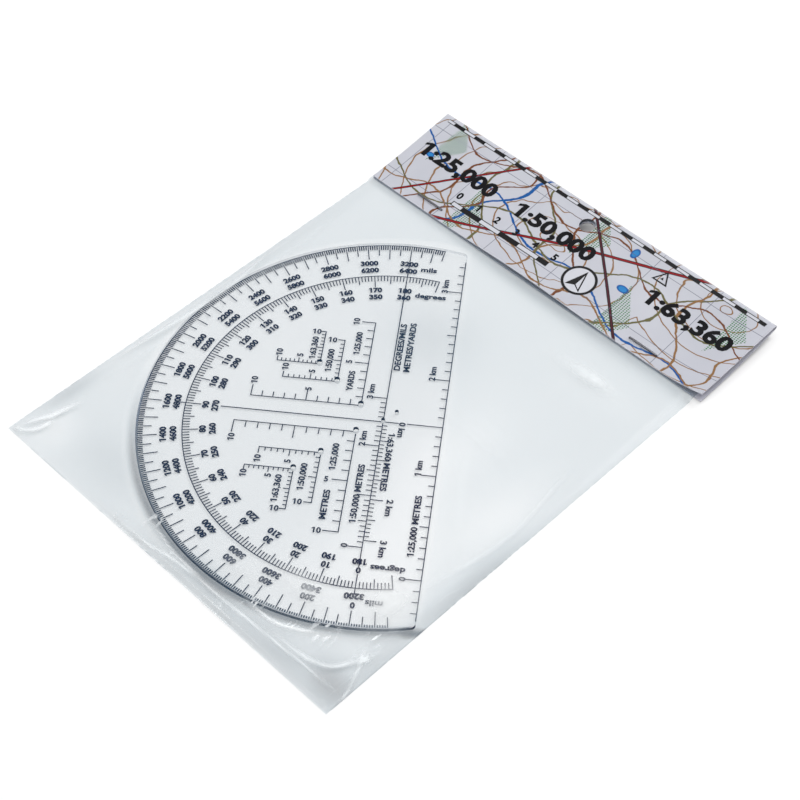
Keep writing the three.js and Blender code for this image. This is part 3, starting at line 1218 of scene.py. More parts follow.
@dataclass
class Lettering:
    """The sheet's numbers and words, cut as thin plates of ink."""

    cap: float = 2.1
    digit_pitch: float = 1.62
    level: float = 0.352
    thickness: float = 0.04
    weight: float = 0.056
    word_weight: float = 0.036
    stem: float = 0.65
    first_flag: float = 0.17
    inner_flag: float = 0.10
    flag_lap: float = 0.02
    flag_drop: float = 0.75
    flag_depth: float = 0.15
    near: float = 0.002
    side_gap: float = 0.125
    curve_steps: int = 3
    milestone: int = 200
    mil_rows: tuple[float, float] = (71.4, 68.1)
    degree_rows: tuple[float, float] = (58.6, 55.4)

    def glyphs(self, text: str) -> bpy.types.Object:
        """Cuts a word one unit high, centred on its capitals.

        Args:
            text: the word.

        Returns:
            The word as a mesh.
        """
        deselect()
        bpy.ops.object.text_add()
        word = bpy.context.object
        word.data.body = text
        word.data.align_x = "CENTER"
        word.data.offset = self.weight
        word.data.resolution_u = self.curve_steps
        word.data.extrude = 0.5
        pick([word])
        bpy.ops.object.convert(target="MESH")
        return self.flagged(bpy.context.object, text.count("1"))

    def flagged(self, word: bpy.types.Object, ones: int) -> bpy.types.Object:
        """Gives each 1, which the font draws as a bare stem, the flag at its top left.

        Args:
            word: the word as a mesh, one unit high.
            ones: how many it has; they stand before any other letter with an upright side.

        Returns:
            The word.
        """
        if not ones:
            return word
        points = word.data.vertices
        tops: dict[float, float] = {}
        for edge in word.data.edges:
            one, other = (points[number].co for number in edge.vertices)
            if abs(one.x - other.x) < self.near and abs(one.y - other.y) > self.stem:
                tops[round(one.x, 3)] = max(one.y, other.y)
        start = min(point.co.x for point in points)
        pieces = [word]
        for left in sorted(tops)[: 2 * ones : 2]:
            reach = self.first_flag if left < start + self.near else self.inner_flag
            deselect()
            bpy.ops.mesh.primitive_cube_add(size=1)
            flag = bpy.context.object
            for vertex in flag.data.vertices:
                out, under = 0.5 - vertex.co.x, 0.5 - vertex.co.y
                vertex.co.x = left + self.flag_lap - (reach + self.flag_lap) * out
                vertex.co.y = tops[left] - self.flag_drop * reach * out - self.flag_depth * under
            pieces.append(flag)
        return joined(pieces, "word")

    def capital(self) -> float:
        """Measures how high a capital is as the font draws it."""
        sample = self.glyphs("H")
        height = max(v.co.y for v in sample.data.vertices)
        bpy.data.objects.remove(sample)
        return height

    def word(self, text: str, x: float, y: float, turn: float, width: float) -> bpy.types.Object:
        """Lays one word on the sheet's plan.

        Args:
            text: the word.
            x: its middle.
            y: the same.
            turn: which way it reads, in degrees.
            width: how wide it is, or 0 for the usual pitch of digits.

        Returns:
            The word.
        """
        piece = self.glyphs(text)
        reach = [v.co.x for v in piece.data.vertices]
        middle, drawn = (max(reach) + min(reach)) / 2, max(reach) - min(reach)
        high = self.cap / self.capital_height
        wide = (width or self.digit_pitch * len(text) - self.side_gap * self.cap) / drawn
        if len(text) == 1 and not width:
            wide = high
        scale = Matrix.Diagonal((wide, high, self.thickness, 1.0))
        centre = Matrix.Translation((-middle, -self.capital_height / 2, 0.5))
        place = Matrix.Translation((x, y, 0)) @ Matrix.Rotation(math.radians(turn), 4, "Z")
        piece.data.transform(place @ scale @ centre)
        return piece

    def ring(
        self, values: Sequence[tuple[int, float]], radius: float, name: str
    ) -> list[bpy.types.Object]:
        """Lays numbers round a circle, their tops outwards.

        Args:
            values: each number with its angle from the lower axis, in degrees, clockwise.
            radius: where their middles lie.
            name: what the row is called, for the log.

        Returns:
            The numbers.
        """
        made = []
        for number, angle in values:
            aim = math.radians(angle)
            x, y = -radius * math.sin(aim), -radius * math.cos(aim)
            made.append(self.word(str(number), x, y, 180.0 - angle, 0.0))
        log.info("%s: %d numbers", name, len(made))
        return made

    def placed(
        self, pieces: Sequence[bpy.types.Object], name: str, ink: bpy.types.Material
    ) -> None:
        """Joins words into one piece under the sheet.

        Args:
            pieces: the words.
            name: the piece's name.
            ink: the material.
        """
        piece = joined(pieces, name)
        with editing():
            bpy.ops.mesh.remove_doubles(threshold=MERGE)
            bpy.ops.mesh.dissolve_degenerate(threshold=MERGE)
        settle(piece, LIE.matrix(self.level))
        dress(piece, ink)
        finished(piece, Body.PROTRACTOR, Slot.PRINT)

    def build(self, ink: bpy.types.Material, groups: dict[str, Sequence[Word]]) -> None:
        """Makes all lettering.

        Args:
            ink: the material.
            groups: the words of each piece.
        """
        self.capital_height = self.capital()
        mils = [(m, mil_angle(m)) for m in range(0, HALF_CIRCLE + 1, self.milestone)]
        rows = self.ring(mils, self.mil_rows[0], "outer mils")
        rows += self.ring([(m + HALF_CIRCLE, a) for m, a in mils], self.mil_rows[1], "inner mils")
        self.placed(rows, "mil_numbers", ink)
        degrees = [(d, float(d)) for d in range(0, 181, 10)]
        rows = self.ring(degrees, self.degree_rows[0], "outer degrees")
        rows += self.ring([(d + 180, a) for d, a in degrees], self.degree_rows[1], "inner degrees")
        self.placed(rows, "degree_numbers", ink)
        self.weight = self.word_weight
        for name, words in groups.items():
            made = [self.word(w.text, w.x, w.y, w.reads.value, w.width) for w in words]
            self.placed(made, name, ink)


def romer_words() -> list[Word]:
    """Gives the romers' numbers and names."""
    up, right = Reads.UP, Reads.RIGHT
    metres = [
        Word("10", -48.0, -12.1, up),
        Word("10", -38.1, -19.7, up),
        Word("5", -28.3, -19.7, up),
        Word("10", -41.6, -26.0, up),
        Word("5", -33.6, -26.0, up),
        Word("5", -14.9, -25.1, right),
        Word("10", -15.0, -45.1, right),
        Word("10", -22.6, -35.0, right),
        Word("10", -29.4, -38.4, right),
        Word("1:63,360", -30.1, -30.7, up, 10.8),
        Word("1:50,000", -22.7, -25.2, up, 10.7),
        Word("1:25,000", -13.8, -16.0, up, 10.8),
        Word("METRES", -14.0, -35.1, up, 11.5),
    ]
    yards = [
        Word("10", -14.6, 42.5, up),
        Word("5", -14.7, 24.3, up),
        Word("10", -21.4, 33.3, right),
        Word("10", -27.2, 36.4, right),
        Word("10", -38.4, 25.7, up),
        Word("5", -31.3, 25.2, up),
        Word("10", -35.4, 19.6, up),
        Word("5", -26.3, 18.6, up),
        Word("10", -44.6, 12.6, up),
        Word("5", -26.3, 10.9, up),
        Word("1:25,000", -12.85, 32.7, up, 10.1),
        Word("YARDS", -13.0, 16.0, up, 8.7),
        Word("1:50,000", -21.2, 24.1, up, 9.9),
        Word("1:63,360", -27.3, 29.0, up, 9.9),
    ]
    return metres + yards


def scale_words() -> list[Word]:
    """Gives the words along the line through the centre and along the straight edge."""
    up, down = Reads.UP, Reads.DOWN
    return [
        Word("3 km", -5.7, 12.4, up, 6.2),
        Word("2 km", -5.7, -7.5, up, 6.1),
        Word("0", -5.7, -49.8, up),
        Word("1:50,000 METRES", -4.5, -29.6, up, 23.1),
        Word("0 km", 6.4, -2.6, down, 6.2),
        Word("2 km", 6.4, -34.1, down, 6.4),
        Word("3 km", 6.4, -49.9, down, 6.3),
        Word("1:63,360 METRES", 3.55, -16.1, down, 23.4),
        Word("0", 13.55, -60.0, up),
        Word("1 km", 13.6, -17.4, up, 6.1),
        Word("2 km", 13.6, 22.4, up, 6.1),
        Word("3 km", 13.5, 62.4, up, 6.2),
        Word("1:25,000 METRES", 14.96, -39.9, up, 23.4),
    ]


def title_words() -> list[Word]:
    """Gives the names of the circles and of the units."""
    return [
        Word("METRES/YARDS", 4.74, 33.0, Reads.UP, 21.9),
        Word("DEGREES/MILS", 1.5, 32.8, Reads.UP, 20.9),
        Word("mils", 7.1, 69.4, Reads.RIGHT, 5.6),
        Word("degrees", 9.0, 57.0, Reads.RIGHT, 10.7),
        Word("mils", 6.3, -70.0, Reads.LEFT, 5.4),
        Word("degrees", 8.85, -57.1, Reads.LEFT, 10.8),
    ]


# The sheet


@dataclass
class Protractor:
    """The clear sheet with its print."""

    arc_steps: int = 360
    corner_cuts: int = 5
    chamfer: float = 0.11
    underlap: float = 0.003
    hole_steps: int = 32
    centre_hole: float = 1.2
    sight_hole: float = 1.2
    sight_place: Place = (4.0, 3.9)
    romer_hole: float = 1.8
    romer_corners: tuple[Place, ...] = (
        (-8.16, -5.12),
        (-18.12, -15.04),
        (-25.84, -22.68),
        (-8.08, 5.92),
        (-17.28, 15.12),
        (-24.16, 22.04),
    )
    tick: float = 2.0
    tick_inset: float = 0.2
    tick_thickness: float = 0.04
    tick_width: float = 0.43
    spread: float = 0.085
    tick_step: int = 10
    own_tick: int = 50
    first_mil: int = -150
    last_mil: int = 3350
    flat: float = 0.9
    far_way: Place = (0.7, -0.7)
    far_share: float = 0.35

    def blank(self) -> bpy.types.Object:
        """Cuts the sheet from a disc, rounds its corners and drills it."""
        low, high = corners("protractor_blank")
        thickness = high.z - low.z
        middle = (0, 0, thickness / 2)
        sheet = rod("clear_sheet", self.arc_steps, LIE.radius, thickness, middle)
        pick([sheet])
        bpy.ops.object.transform_apply()
        x = LIE.edge - LIE.corner
        y = math.sqrt((LIE.radius - LIE.corner) ** 2 - x * x)
        full = math.atan2(y, x)
        with editing():
            self.cut(LIE.edge, 0.0, 0.0)
            for side in (1, -1):
                for number in range(1, self.corner_cuts + 1):
                    angle = full * number / (self.corner_cuts + 1)
                    cut_x = x + LIE.corner * math.cos(angle)
                    cut_y = y + LIE.corner * math.sin(angle)
                    self.cut(cut_x, side * cut_y, side * angle)
        self.drill(sheet, thickness)
        eased(sheet, self.chamfer, 1, 60)
        smooth(sheet, 25)
        return sheet

    def cut(self, x: float, y: float, angle: float) -> None:
        """Cuts the sheet off square to its face, in edit mode.

        Args:
            x: a point on the cut.
            y: the same.
            angle: where the side that is cut off lies.
        """
        bpy.ops.mesh.select_all(action="SELECT")
        bpy.ops.mesh.bisect(
            plane_co=(x, y, 0),
            plane_no=(math.cos(angle), math.sin(angle), 0),
            use_fill=True,
            clear_outer=True,
        )

    def drill(self, sheet: bpy.types.Object, thickness: float) -> None:
        """Drills the centre, the sighting hole and the romers' pencil holes.

        Args:
            sheet: the blank.
            thickness: its thickness.
        """
        holes = [((0.0, 0.0), self.centre_hole), (self.sight_place, self.sight_hole)]
        holes += [(corner, self.romer_hole) for corner in self.romer_corners]
        drills = []
        for (x, y), diameter in holes:
            middle = (x, y, thickness / 2)
            drills.append(rod("drill", self.hole_steps, diameter / 2, 3 * thickness, middle))
        cut_away(sheet, joined(drills, "drill"))

    def fine_ticks(self) -> bpy.types.Object:
        """Draws the ticks of ten mils between the frame's own."""
        deselect()
        bpy.ops.mesh.primitive_cube_add(size=1, location=(0, 0, 0))
        tick = named("tick")
        outer, thick = LIE.radius - self.tick_inset, self.tick_thickness
        size = Matrix.Diagonal((self.tick_width, self.tick, thick, 1.0))
        tick.data.transform(Matrix.Translation((0, -outer + self.tick / 2, thick / 2)) @ size)
        made = []
        for mil in range(self.first_mil, self.last_mil + 1, self.tick_step):
            if mil % self.own_tick:
                turn = Matrix.Rotation(-math.radians(mil_angle(mil)), 4, "Z")
                made.append(copied(tick, turn))
        bpy.data.objects.remove(tick)
        return joined(made, "mil_fine_ticks")

    def printed(self, name: str, ink: bpy.types.Material) -> None:
        """Draws one of the frame's print nodes at its own level, as broad as the ink spreads.

        Args:
            name: the frame's node.
            ink: the material.
        """
        low, high = corners(name)
        piece = own_copy(name, f"{name}_ink")
        with editing():
            bpy.ops.transform.shrink_fatten(value=self.spread, use_even_offset=True)
        for vertex in piece.data.vertices:
            vertex.co.z = high.z if vertex.co.z > (low.z + high.z) / 2 else low.z
        settle(piece, Matrix.Identity(4))
        dress(piece, ink)
        finished(piece, Body.PROTRACTOR, Slot.PRINT, name)

    def build(self) -> None:
        """Makes the sheet, its fine ticks, its lettering and its scales."""
        low, _ = corners("protractor_blank")
        sheet = self.blank()
        settle(sheet, LIE.matrix(low.z + self.underlap))
        edge = SheetEdge()
        dress(sheet, ClearSheet().material(), edge.material(), edge.hole_material())
        middle = Vector((*LIE.centre(), 0)) * MM
        for face in sheet.data.polygons:
            side = abs(face.normal.z) < self.flat
            hole = side and (face.center - middle).length < edge.holes_within * MM
            # The holes' far walls, which face the pack's lower right, take the painted shade of the
            # hole material.
            away = face.normal.x * self.far_way[0] + face.normal.y * self.far_way[1]
            far = away > self.far_share
            face.material_index = 2 if hole and far else int(side)
        finished(sheet, Body.PROTRACTOR, Slot.SHEET, "protractor_blank")
        ink = Ink().material()
        ticks = self.fine_ticks()
        lettering = Lettering()
        settle(ticks, LIE.matrix(lettering.level))
        dress(ticks, ink)
        finished(ticks, Body.PROTRACTOR, Slot.PRINT)
        groups = {
            "romer_words": romer_words(),
            "scale_words": scale_words(),
            "title_words": title_words(),
        }
        lettering.build(ink, groups)
        for name, node in frame["nodes"].items():
            if node["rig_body"] == Body.PROTRACTOR.value and name != "protractor_blank":
                self.printed(name, ink)


# The closure


@dataclass
class Card:
    """The folded card, with its front flap sprung up between and beyond the staples."""

    height: float = 40.0
    stock: float = 0.35
    fold_radius: float = 1.0
    skew: float = 0.6
    bed: float = 0.55
    rise: float = 4.0
    flap_gap: float = 0.4
    bow: float = 1.2
    lift_left: float = 0.2
    lift_right: float = 3.0
    staples: tuple[float, float] = (-51.1, 47.4)
    hold: float = 7.5
    flap_curve: float = 1.3
    hole: float = 6.0
    hole_steps: int = 64
    hole_inset: float = 8.0
    hole_shift: float = -1.0
    columns: int = 120
    flap_rows: int = 30
    fold_rows: int = 8
    ink: Ink = Ink((0.003, 0.003, 0.004), (0.010, 0.010, 0.014))
    ink_gap: float = 0.012
    ink_share: float = 0.2
    bar_cap: float = 3.0
    bar_level: float = 13.6
    bar_start: float = -45
    bar_step: float = 9
    scale_cap: float = 6.2
    scale_width: float = 36.0
    scale_level: float = 22.5
    scales: tuple[str, ...] = ("1:25,000", "1:50,000", "1:63,360")
    scale_places: tuple[float, ...] = (-54.0, -8.0, 52.0)

    def width(self) -> float:
        """Gives the card's width, from the frame's box and the card's skew."""
        low, high = corners("header_card")
        skew = math.radians(self.skew)
        return (high.x - low.x - self.height * math.sin(skew)) / math.cos(skew)

    def origin(self) -> Place:
        """Gives the middle of the card's lower edge."""
        low, high = corners("header_card")
        skew = math.radians(self.skew)
        x = (low.x + high.x) / 2 + self.height / 2 * math.sin(skew)
        y = high.y - self.height * math.cos(skew) - self.width() / 2 * math.sin(skew)
        return (x, y)

    def matrix(self) -> Matrix:
        """Gives the way from the card's own plan to its place in the pack."""
        x, y = self.origin()
        return Matrix.Translation((x, y, 0)) @ Matrix.Rotation(math.radians(self.skew), 4, "Z")

    def reach(self) -> float:
        """Gives the length of the flat of each flap."""
        return self.height - self.fold_radius

    def top(self) -> float:
        """Gives the fold's highest level."""
        return self.bed + self.rise + 2 * self.fold_radius

    def back(self, v: float) -> float:
        """Gives the level of the back flap's inner face."""
        return self.bed + self.stock + self.rise * min(max(v / self.reach(), 0.0), 1.0) ** 2

    def spring(self, u: float) -> float:
        """Gives how far the front flap's lower edge springs up at a place across."""
        left, right = self.staples
        share = min(max((u - left - self.hold) / (right - left - 2 * self.hold), 0.0), 1.0)
        half = self.width() / 2
        to_left = min(max((left - self.hold - u) / (half + left - self.hold), 0.0), 1.0)
        to_right = min(max((u - right - self.hold) / (half - right - self.hold), 0.0), 1.0)
        lift = self.lift_left * to_left**2 + self.lift_right * to_right**2
        return self.bow * math.sin(math.pi * share) ** 2 + lift

    def front(self, u: float, v: float) -> float:
        """Gives the level of the front flap's inner face."""
        low = self.bed + self.stock + self.flap_gap + self.spring(u)
        share = max(v / self.reach(), 0.0) ** self.flap_curve
        return low + (self.top() - self.stock - low) * share

    def outside(self, across: float, along: float) -> Vector:
        """Gives a point of the card's printed side, from the front flap's edge over the fold.

        Args:
            across: the share of the width.
            along: the share of the whole strip.

        Returns:
            The point.
        """
        u = (across - 0.5) * self.width()
        rows = 2 * self.flap_rows + self.fold_rows
        row = along * rows
        if row <= self.flap_rows:
            v = self.reach() * row / self.flap_rows
            return Vector((u, v, self.front(u, v) + self.stock))
        if row < self.flap_rows + self.fold_rows:
            angle = math.pi / 2 - math.pi * (row - self.flap_rows) / self.fold_rows
            middle = self.top() - self.fold_radius
            v = self.reach() + self.fold_radius * math.cos(angle)
            return Vector((u, v, middle + self.fold_radius * math.sin(angle)))
        v = self.reach() * (rows - row) / self.flap_rows
        return Vector((u, v, self.back(v) - self.stock))

    def build(self) -> None:
        """Folds the card, gives it its thickness, punches it and prints it."""
        rows = 2 * self.flap_rows + self.fold_rows
        card = shaped_grid("folded_card", self.columns, rows, self.outside)
        dress(
            card,
            MapPrint().material("card_front", self.origin(), self.skew, True),
            MapPrint().material("card_back", self.origin(), self.skew, False),
            CardStock().material(),
        )
        for face in card.data.polygons:
            face.material_index = 0 if face.normal.z > 0 else 1
        with_modifier(
            card,
            "SOLIDIFY",
            thickness=self.stock,
            offset=-1.0,
            material_offset=2,
            material_offset_rim=2,
        )
        middle = (self.hole_shift, self.height - self.hole_inset, self.top())
        punch = rod("punch", self.hole_steps, self.hole / 2, 4 * self.top(), middle)
        dress(punch, CardStock().material("punched_edge"))
        cut_away(card, punch)
        smooth(card, 30)
        settle(card, self.matrix())
        finished(card, Body.PACK, Slot.CARD, "header_card")

    def numbers(self, lettering: Lettering) -> None:
        """Prints the scale bar's numbers and the map scales on the front flap.

        Args:
            lettering: cuts the numbers.
        """
        lettering.capital_height = lettering.capital()
        lettering.cap = self.bar_cap
        made = [
            lettering.word(str(n), self.bar_start + self.bar_step * n, self.bar_level, 0.0, 0.0)
            for n in range(6)
        ]
        lettering.cap = self.scale_cap
        for text, u in zip(self.scales, self.scale_places):
            made.append(lettering.word(text, u, self.scale_level, 0.0, self.scale_width))
        piece = joined(made, "card_numbers")
        for vertex in piece.data.vertices:
            u, v, thick = vertex.co
            vertex.co.z = self.front(u, v) + self.stock + self.ink_gap + thick * self.ink_share
        settle(piece, self.matrix())
        dress(piece, self.ink.material("card_ink"))
        finished(piece, Body.PACK, Slot.CARD)


@dataclass
class Staples:
    """The two staples, with their corners eased."""

    ease: float = 0.12

    def build(self) -> None:
        """Rounds a copy of each staple of the frame."""
        wire = StapleWire().material()
        for name in ("left_staple", "right_staple"):
            piece = own_copy(name, name.replace("staple", "wire"))
            with editing():
                bpy.ops.mesh.dissolve_limited(angle_limit=math.radians(2))
            eased(piece, self.ease, 3, 50)
            smooth(piece, 40)
            settle(piece, Matrix.Identity(4))
            dress(piece, wire)
            finished(piece, Body.PACK, Slot.WIRE, name)


# The bag


@dataclass
class Bag:
    """The film bag: two walls joined at a fold below and at welds on both sides."""

    card: Card
    columns: int = 168
    rows: int = 236
    crowd: float = 0.55
    weld: float = 0.5
    weld_gap: float = 0.08
    side_rise: float = 3.4
    bottom_weld: float = 0.3
    bottom_rise: float = 1.5
    over_sheet: float = 1.84
    slack: float = 0.9
    drape: float = 10.0
    ramp: float = 2.2
    ramp_clearance: float = 0.4
    back_level: float = 0.04
    mouth_inset: float = 0.8
    hole_clearance: float = 0.4
    corner_face: float = 0.45
    line_share: float = 0.5
    # A painted shade line along the bag's outer edges.
    edge_shade: float = 0.06
    edge_line: float = 0.9
    # Each fold: its path, height, width, and its whitening with painted highlight.
    folds: tuple[Fold, ...] = (
        Fold(((-75.3, -102.0), (-71.2, -100.8), (-67.9, -96.9), (-67.6, -90.6)), 0.3, 1.2, 1.0),
        Fold(((-73.4, -99.6), (-70.3, -92.9), (-68.9, -90.0), (-67.0, -79.0)), 0.3, 1.6, 1.0),
        Fold(
            ((-74.6, -66.0), (-71.7, -38.2), (-70.6, -22.1), (-71.2, -6.8), (-74.9, 14.0)),
            0.12,
            1.3,
            0.6,
        ),
        Fold(((-69.0, -75.0), (-67.2, -30.0), (-68.4, 12.0), (-70.5, 48.0)), 0.15, 1.8, 0.12),
        Fold(((-24.9, -104.0), (-6.9, -101.4), (4.1, -99.6), (17.6, -99.0)), 0.05, 0.9, 0.9),
        Fold(
            ((0.1, -99.9), (15.6, -99), (29.7, -98.6), (44.2, -97.8), (56.2, -97.1), (74.2, -96.4)),
            0.04,
            0.8,
            0.9,
        ),
        Fold(((-16.8, -94.8), (-6.3, -96.8), (0.3, -98.1), (15.8, -98.4)), 0.05, 0.9, 0.9),
        Fold(((27.0, -94.2), (38.9, -93.6), (45.4, -91.2), (53.4, -86.2)), 0.06, 0.9, 1.0),
        Fold(
            ((38.3, -96.6), (53.4, -95.4), (59.1, -94), (63, -92), (66, -88), (71, -77.3)),
            0.07,
            1.2,
            1.0,
        ),
        Fold(((66.4, -80.3), (70.5, -89.1), (73.8, -99.3)), 0.05, 1.1, 0.8),
        Fold(((17.6, -102.7), (24.0, -102.4), (31.5, -102.6)), 0.04, 1.4, 1.0),
        Fold(
            ((64.6, 15), (65.8, 3.7), (67.8, -10.5), (68.6, -20.2), (66.9, -36.7), (61.6, -62)),
            0.18,
            1.7,
            0.25,
        ),
        Fold(((30.0, -2.0), (52.0, -28.0), (72.0, -45.0)), 0.15, 6.0, 0.06),
        Fold(((-64.0, 56.0), (-30.0, 44.0), (-8.0, 46.0)), 0.2, 5.0),
    )
    # Painted glints on crinkled film: each one's place and size.
    crinkles: tuple[tuple[float, float, float], ...] = (
        (-21.5, -102.9, 2.2),
        (-13.0, -94.6, 2.4),
        (-0.5, -97.0, 2.2),
        (31.4, -94.2, 2.6),
        (45.6, -91.4, 2.0),
        (53.2, -85.6, 3.4),
        (66.0, -76.2, 2.2),
        (68.2, -83.6, 2.4),
        (24.5, -102.4, 2.0),
    )
    # Patches of painted shade: place, size and depth.
    shades: tuple[Patch, ...] = (
        Patch(-40.0, -89.0, 22.0, 10.0, 0.12),
        Patch(4.0, -103.0, 34.0, 5.0, 0.14),
        Patch(16.0, -97.4, 13.0, 3.2, 0.74),
        Patch(50.0, -101.0, 32.0, 8.0, 0.26),
        Patch(67.0, -96.0, 10.0, 7.0, 0.50),
        Patch(75.0, -84.0, 6.0, 20.0, 0.26),
        Patch(72.5, -42.0, 4.0, 26.0, 0.34),
        Patch(20.0, 60.5, 52.0, 3.0, 0.30),
        Patch(-50.0, 61.0, 30.0, 2.0, 0.10),
        Patch(-73.5, -80.0, 3.2, 12.0, 0.26),
        Patch(-73.5, 10.0, 3.5, 50.0, 0.10),
        Patch(-6.0, 20.0, 15.0, 15.0, 0.17),
    )
    # Patches where the film is made clearer, as painted brightening where glare falls.
    clearings: tuple[Patch, ...] = (
        Patch(50.0, -50.0, 18.0, 28.0, 0.15),
        Patch(34.0, -12.0, 12.0, 24.0, 0.12),
        Patch(62.0, -16.0, 9.0, 18.0, 0.14),
        Patch(50.0, 44.0, 18.0, 6.0, 0.06),
        Patch(-64.0, -93.0, 9.0, 9.0, 0.15),
    )
    # Patches of painted highlight, added to the whitening.
    glares: tuple[Patch, ...] = (
        Patch(42.0, 45.2, 9.5, 2.6, 0.62),
        Patch(46.0, 46.2, 4.0, 1.2, 0.34),
        Patch(36.0, 1.0, 13.0, 3.5, 0.12),
        Patch(60.0, -64.0, 8.0, 9.0, 0.50),
        Patch(38.0, -78.5, 9.0, 4.0, 0.40),
        Patch(20.0, -86.0, 7.0, 3.0, 0.30),
        Patch(-67.0, -94.0, 5.0, 4.0, 0.14),
    )
    drape_from: float = 0.8
    sheet_wave: float = 0.1
    free_wave: float = 0.5
    sheet_fold: float = 0.4
    front_gap: float = 0.2
    back_gap: float = 0.02
    settled: float = 0.14
    pressed: float = 0.12
    # A band of painted shadow just outside the sheet's arc, on its lower side.
    arc_depth: float = 1.05
    arc_gap: float = 1.3
    arc_width: float = 1.5
    arc_side: Place = (0.5, 0.86)
    arc_start: float = 0.15
    merge: float = 0.01

    def waves(self, x: float, y: float) -> float:
        """Gives the slow waves of slack film, from 0 to 1."""
        swing = 0.5 * math.sin(x / 17.0 + y / 41.0 + 0.6)
        swing += 0.32 * math.sin(x / 29.0 - y / 19.0 + 2.1)
        return (1 + swing + 0.18 * math.sin(x / 9.5 + y / 13.0)) / 2

    def climb(self, v: float) -> float:
        """Gives how far the film has risen from the table to the card, from 0 to 1."""
        return ease((v + self.ramp + self.ramp_clearance) / self.ramp)

    def front(self, x: float, y: float, v: float) -> float:
        """Gives the level of the front wall.

        Args:
            x: the place in the pack.
            y: the same.
            v: the place up the card, negative below it.

        Returns:
            The level.
        """
        low, high = corners("poly_bag")
        free = ease((LIE.outside(x, y) - self.drape_from) / self.drape)
        level = self.over_sheet + (self.slack - self.over_sheet) * free
        level += (self.sheet_wave + self.free_wave * free) * self.waves(x, y)
        folded = sum(fold.height * fold.near(x, y) for fold in self.folds)
        level += folded * (self.sheet_fold + (1 - self.sheet_fold) * free)
        held = self.card.back(v) + self.front_gap
        level += (held - level) * self.climb(v)
        side = min(x - low.x, high.x - x)
        level = blend(self.behind(v) + self.weld_gap, level, (side - self.weld) / self.side_rise)
        below = y - low.y
        share = (below - self.bottom_weld) / self.bottom_rise
        return blend(self.back_level + self.weld_gap, level, share)

    def behind(self, v: float) -> float:
        """Gives the level of the back wall at a place up the card."""
        return self.back_level + self.climb(v) * (self.card.back(v) + self.back_gap)

    def wall(self, is_front: bool) -> bpy.types.Object:
        """Lays one wall of the bag.

        Args:
            is_front: True for the wall over the sheet.

        Returns:
            The wall, its outside outwards.
        """
        low, high = corners("poly_bag")
        place = self.card.matrix()
        back_to_card = place.inverted()
        mouth = self.card.reach() - self.mouth_inset
        middle, _ = self.card.origin()

        def point(across: float, along: float) -> Vector:
            """Gives a point of the wall for its shares across and along."""
            crowded = across - self.crowd * math.sin(math.tau * across) / math.tau
            x = low.x + (high.x - low.x) * crowded
            top = (place @ Vector((x - middle, mouth, 0))).y
            y = low.y + (top - low.y) * along * (1 - self.crowd * (1 - along) / 2)
            v = (back_to_card @ Vector((x, y, 0))).y
            edge = min(across, 1 - across, along) < 1e-5
            if is_front and not edge:
                return Vector((x, y, self.front(x, y, v)))
            return Vector((x, y, self.behind(v) + (self.weld_gap / 2 if edge else 0.0)))

        name = "film_front" if is_front else "film_back"
        return shaped_grid(name, self.columns, self.rows, point, flip=not is_front)

    def mark(self, film: bpy.types.Object) -> None:
        """Writes on each point of the front wall its whitening and painted highlight, its painted
        glints on crinkles, and its opacity with painted shade.

        Args:
            film: the front wall.
        """
        low, high = corners("poly_bag")
        cx, cy = LIE.centre()
        right, down = self.arc_side
        marks: dict[str, list[float]] = {"whitening_and_highlight": [], "crinkle_glint": [], "shade": []}
        for vertex in film.data.vertices:
            x, y, _ = vertex.co
            inset = min(x - low.x, high.x - x, y - low.y)
            # Whitening with painted highlight along the folds, and the painted highlight patches.
            white = max(fold.whiten * fold.near(x, y, self.line_share) for fold in self.folds)
            # Painted glints where the film is crinkled.
            glint_share = max(
                math.exp(-((x - a) ** 2 + (y - b) ** 2) / size**2) for a, b, size in self.crinkles
            )
            white += sum(patch.at(x, y) for patch in self.glares)
            # Painted shade from the patches and along the edges.
            dark = max(patch.at(x, y) for patch in self.shades)
            dark += self.edge_shade * math.exp(-((inset / self.edge_line) ** 2))
            # Painted shadow beside the lower side of the sheet's arc.
            rim = math.hypot(x - cx, y - cy) - LIE.radius
            towards = ease(((x - cx) * right - (y - cy) * down) / LIE.radius + self.arc_start)
            away = (rim - self.arc_gap) / self.arc_width
            under = self.arc_depth * math.exp(-(away**2)) * towards
            # Clearer where the film lies pressed on the sheet, and at the glare clearings as
            # painted brightening.
            cleared = sum(patch.at(x, y) for patch in self.clearings)
            cleared += self.pressed * ease(0.5 - LIE.outside(x, y) / 2)
            marks["whitening_and_highlight"].append(white)
            marks["crinkle_glint"].append(glint_share)
            marks["shade"].append(max(dark, under) + self.settled - cleared)
        for name, values in marks.items():
            film.data.attributes.new(name, "FLOAT", "POINT").data.foreach_set("value", values)

    def build(self) -> None:
        """Joins both walls, punches the hang hole and dresses the film."""
        low, high = corners("poly_bag")
        hole = (self.card.hole_shift, self.card.height - self.card.hole_inset, 0)
        centre = self.card.matrix() @ Vector(hole)
        clear = self.card.hole / 2 + self.hole_clearance

        def in_hole(face: bpy.types.MeshPolygon) -> bool:
            """Tells whether a face lies where the hang hole is punched."""
            return math.hypot(face.center.x - centre.x, face.center.y - centre.y) < clear

        def in_corner(face: bpy.types.MeshPolygon) -> bool:
            """Tells whether a face fills the welded corner at the lower right."""
            off = max(abs(face.center.x - high.x), abs(face.center.y - low.y))
            return off < self.corner_face

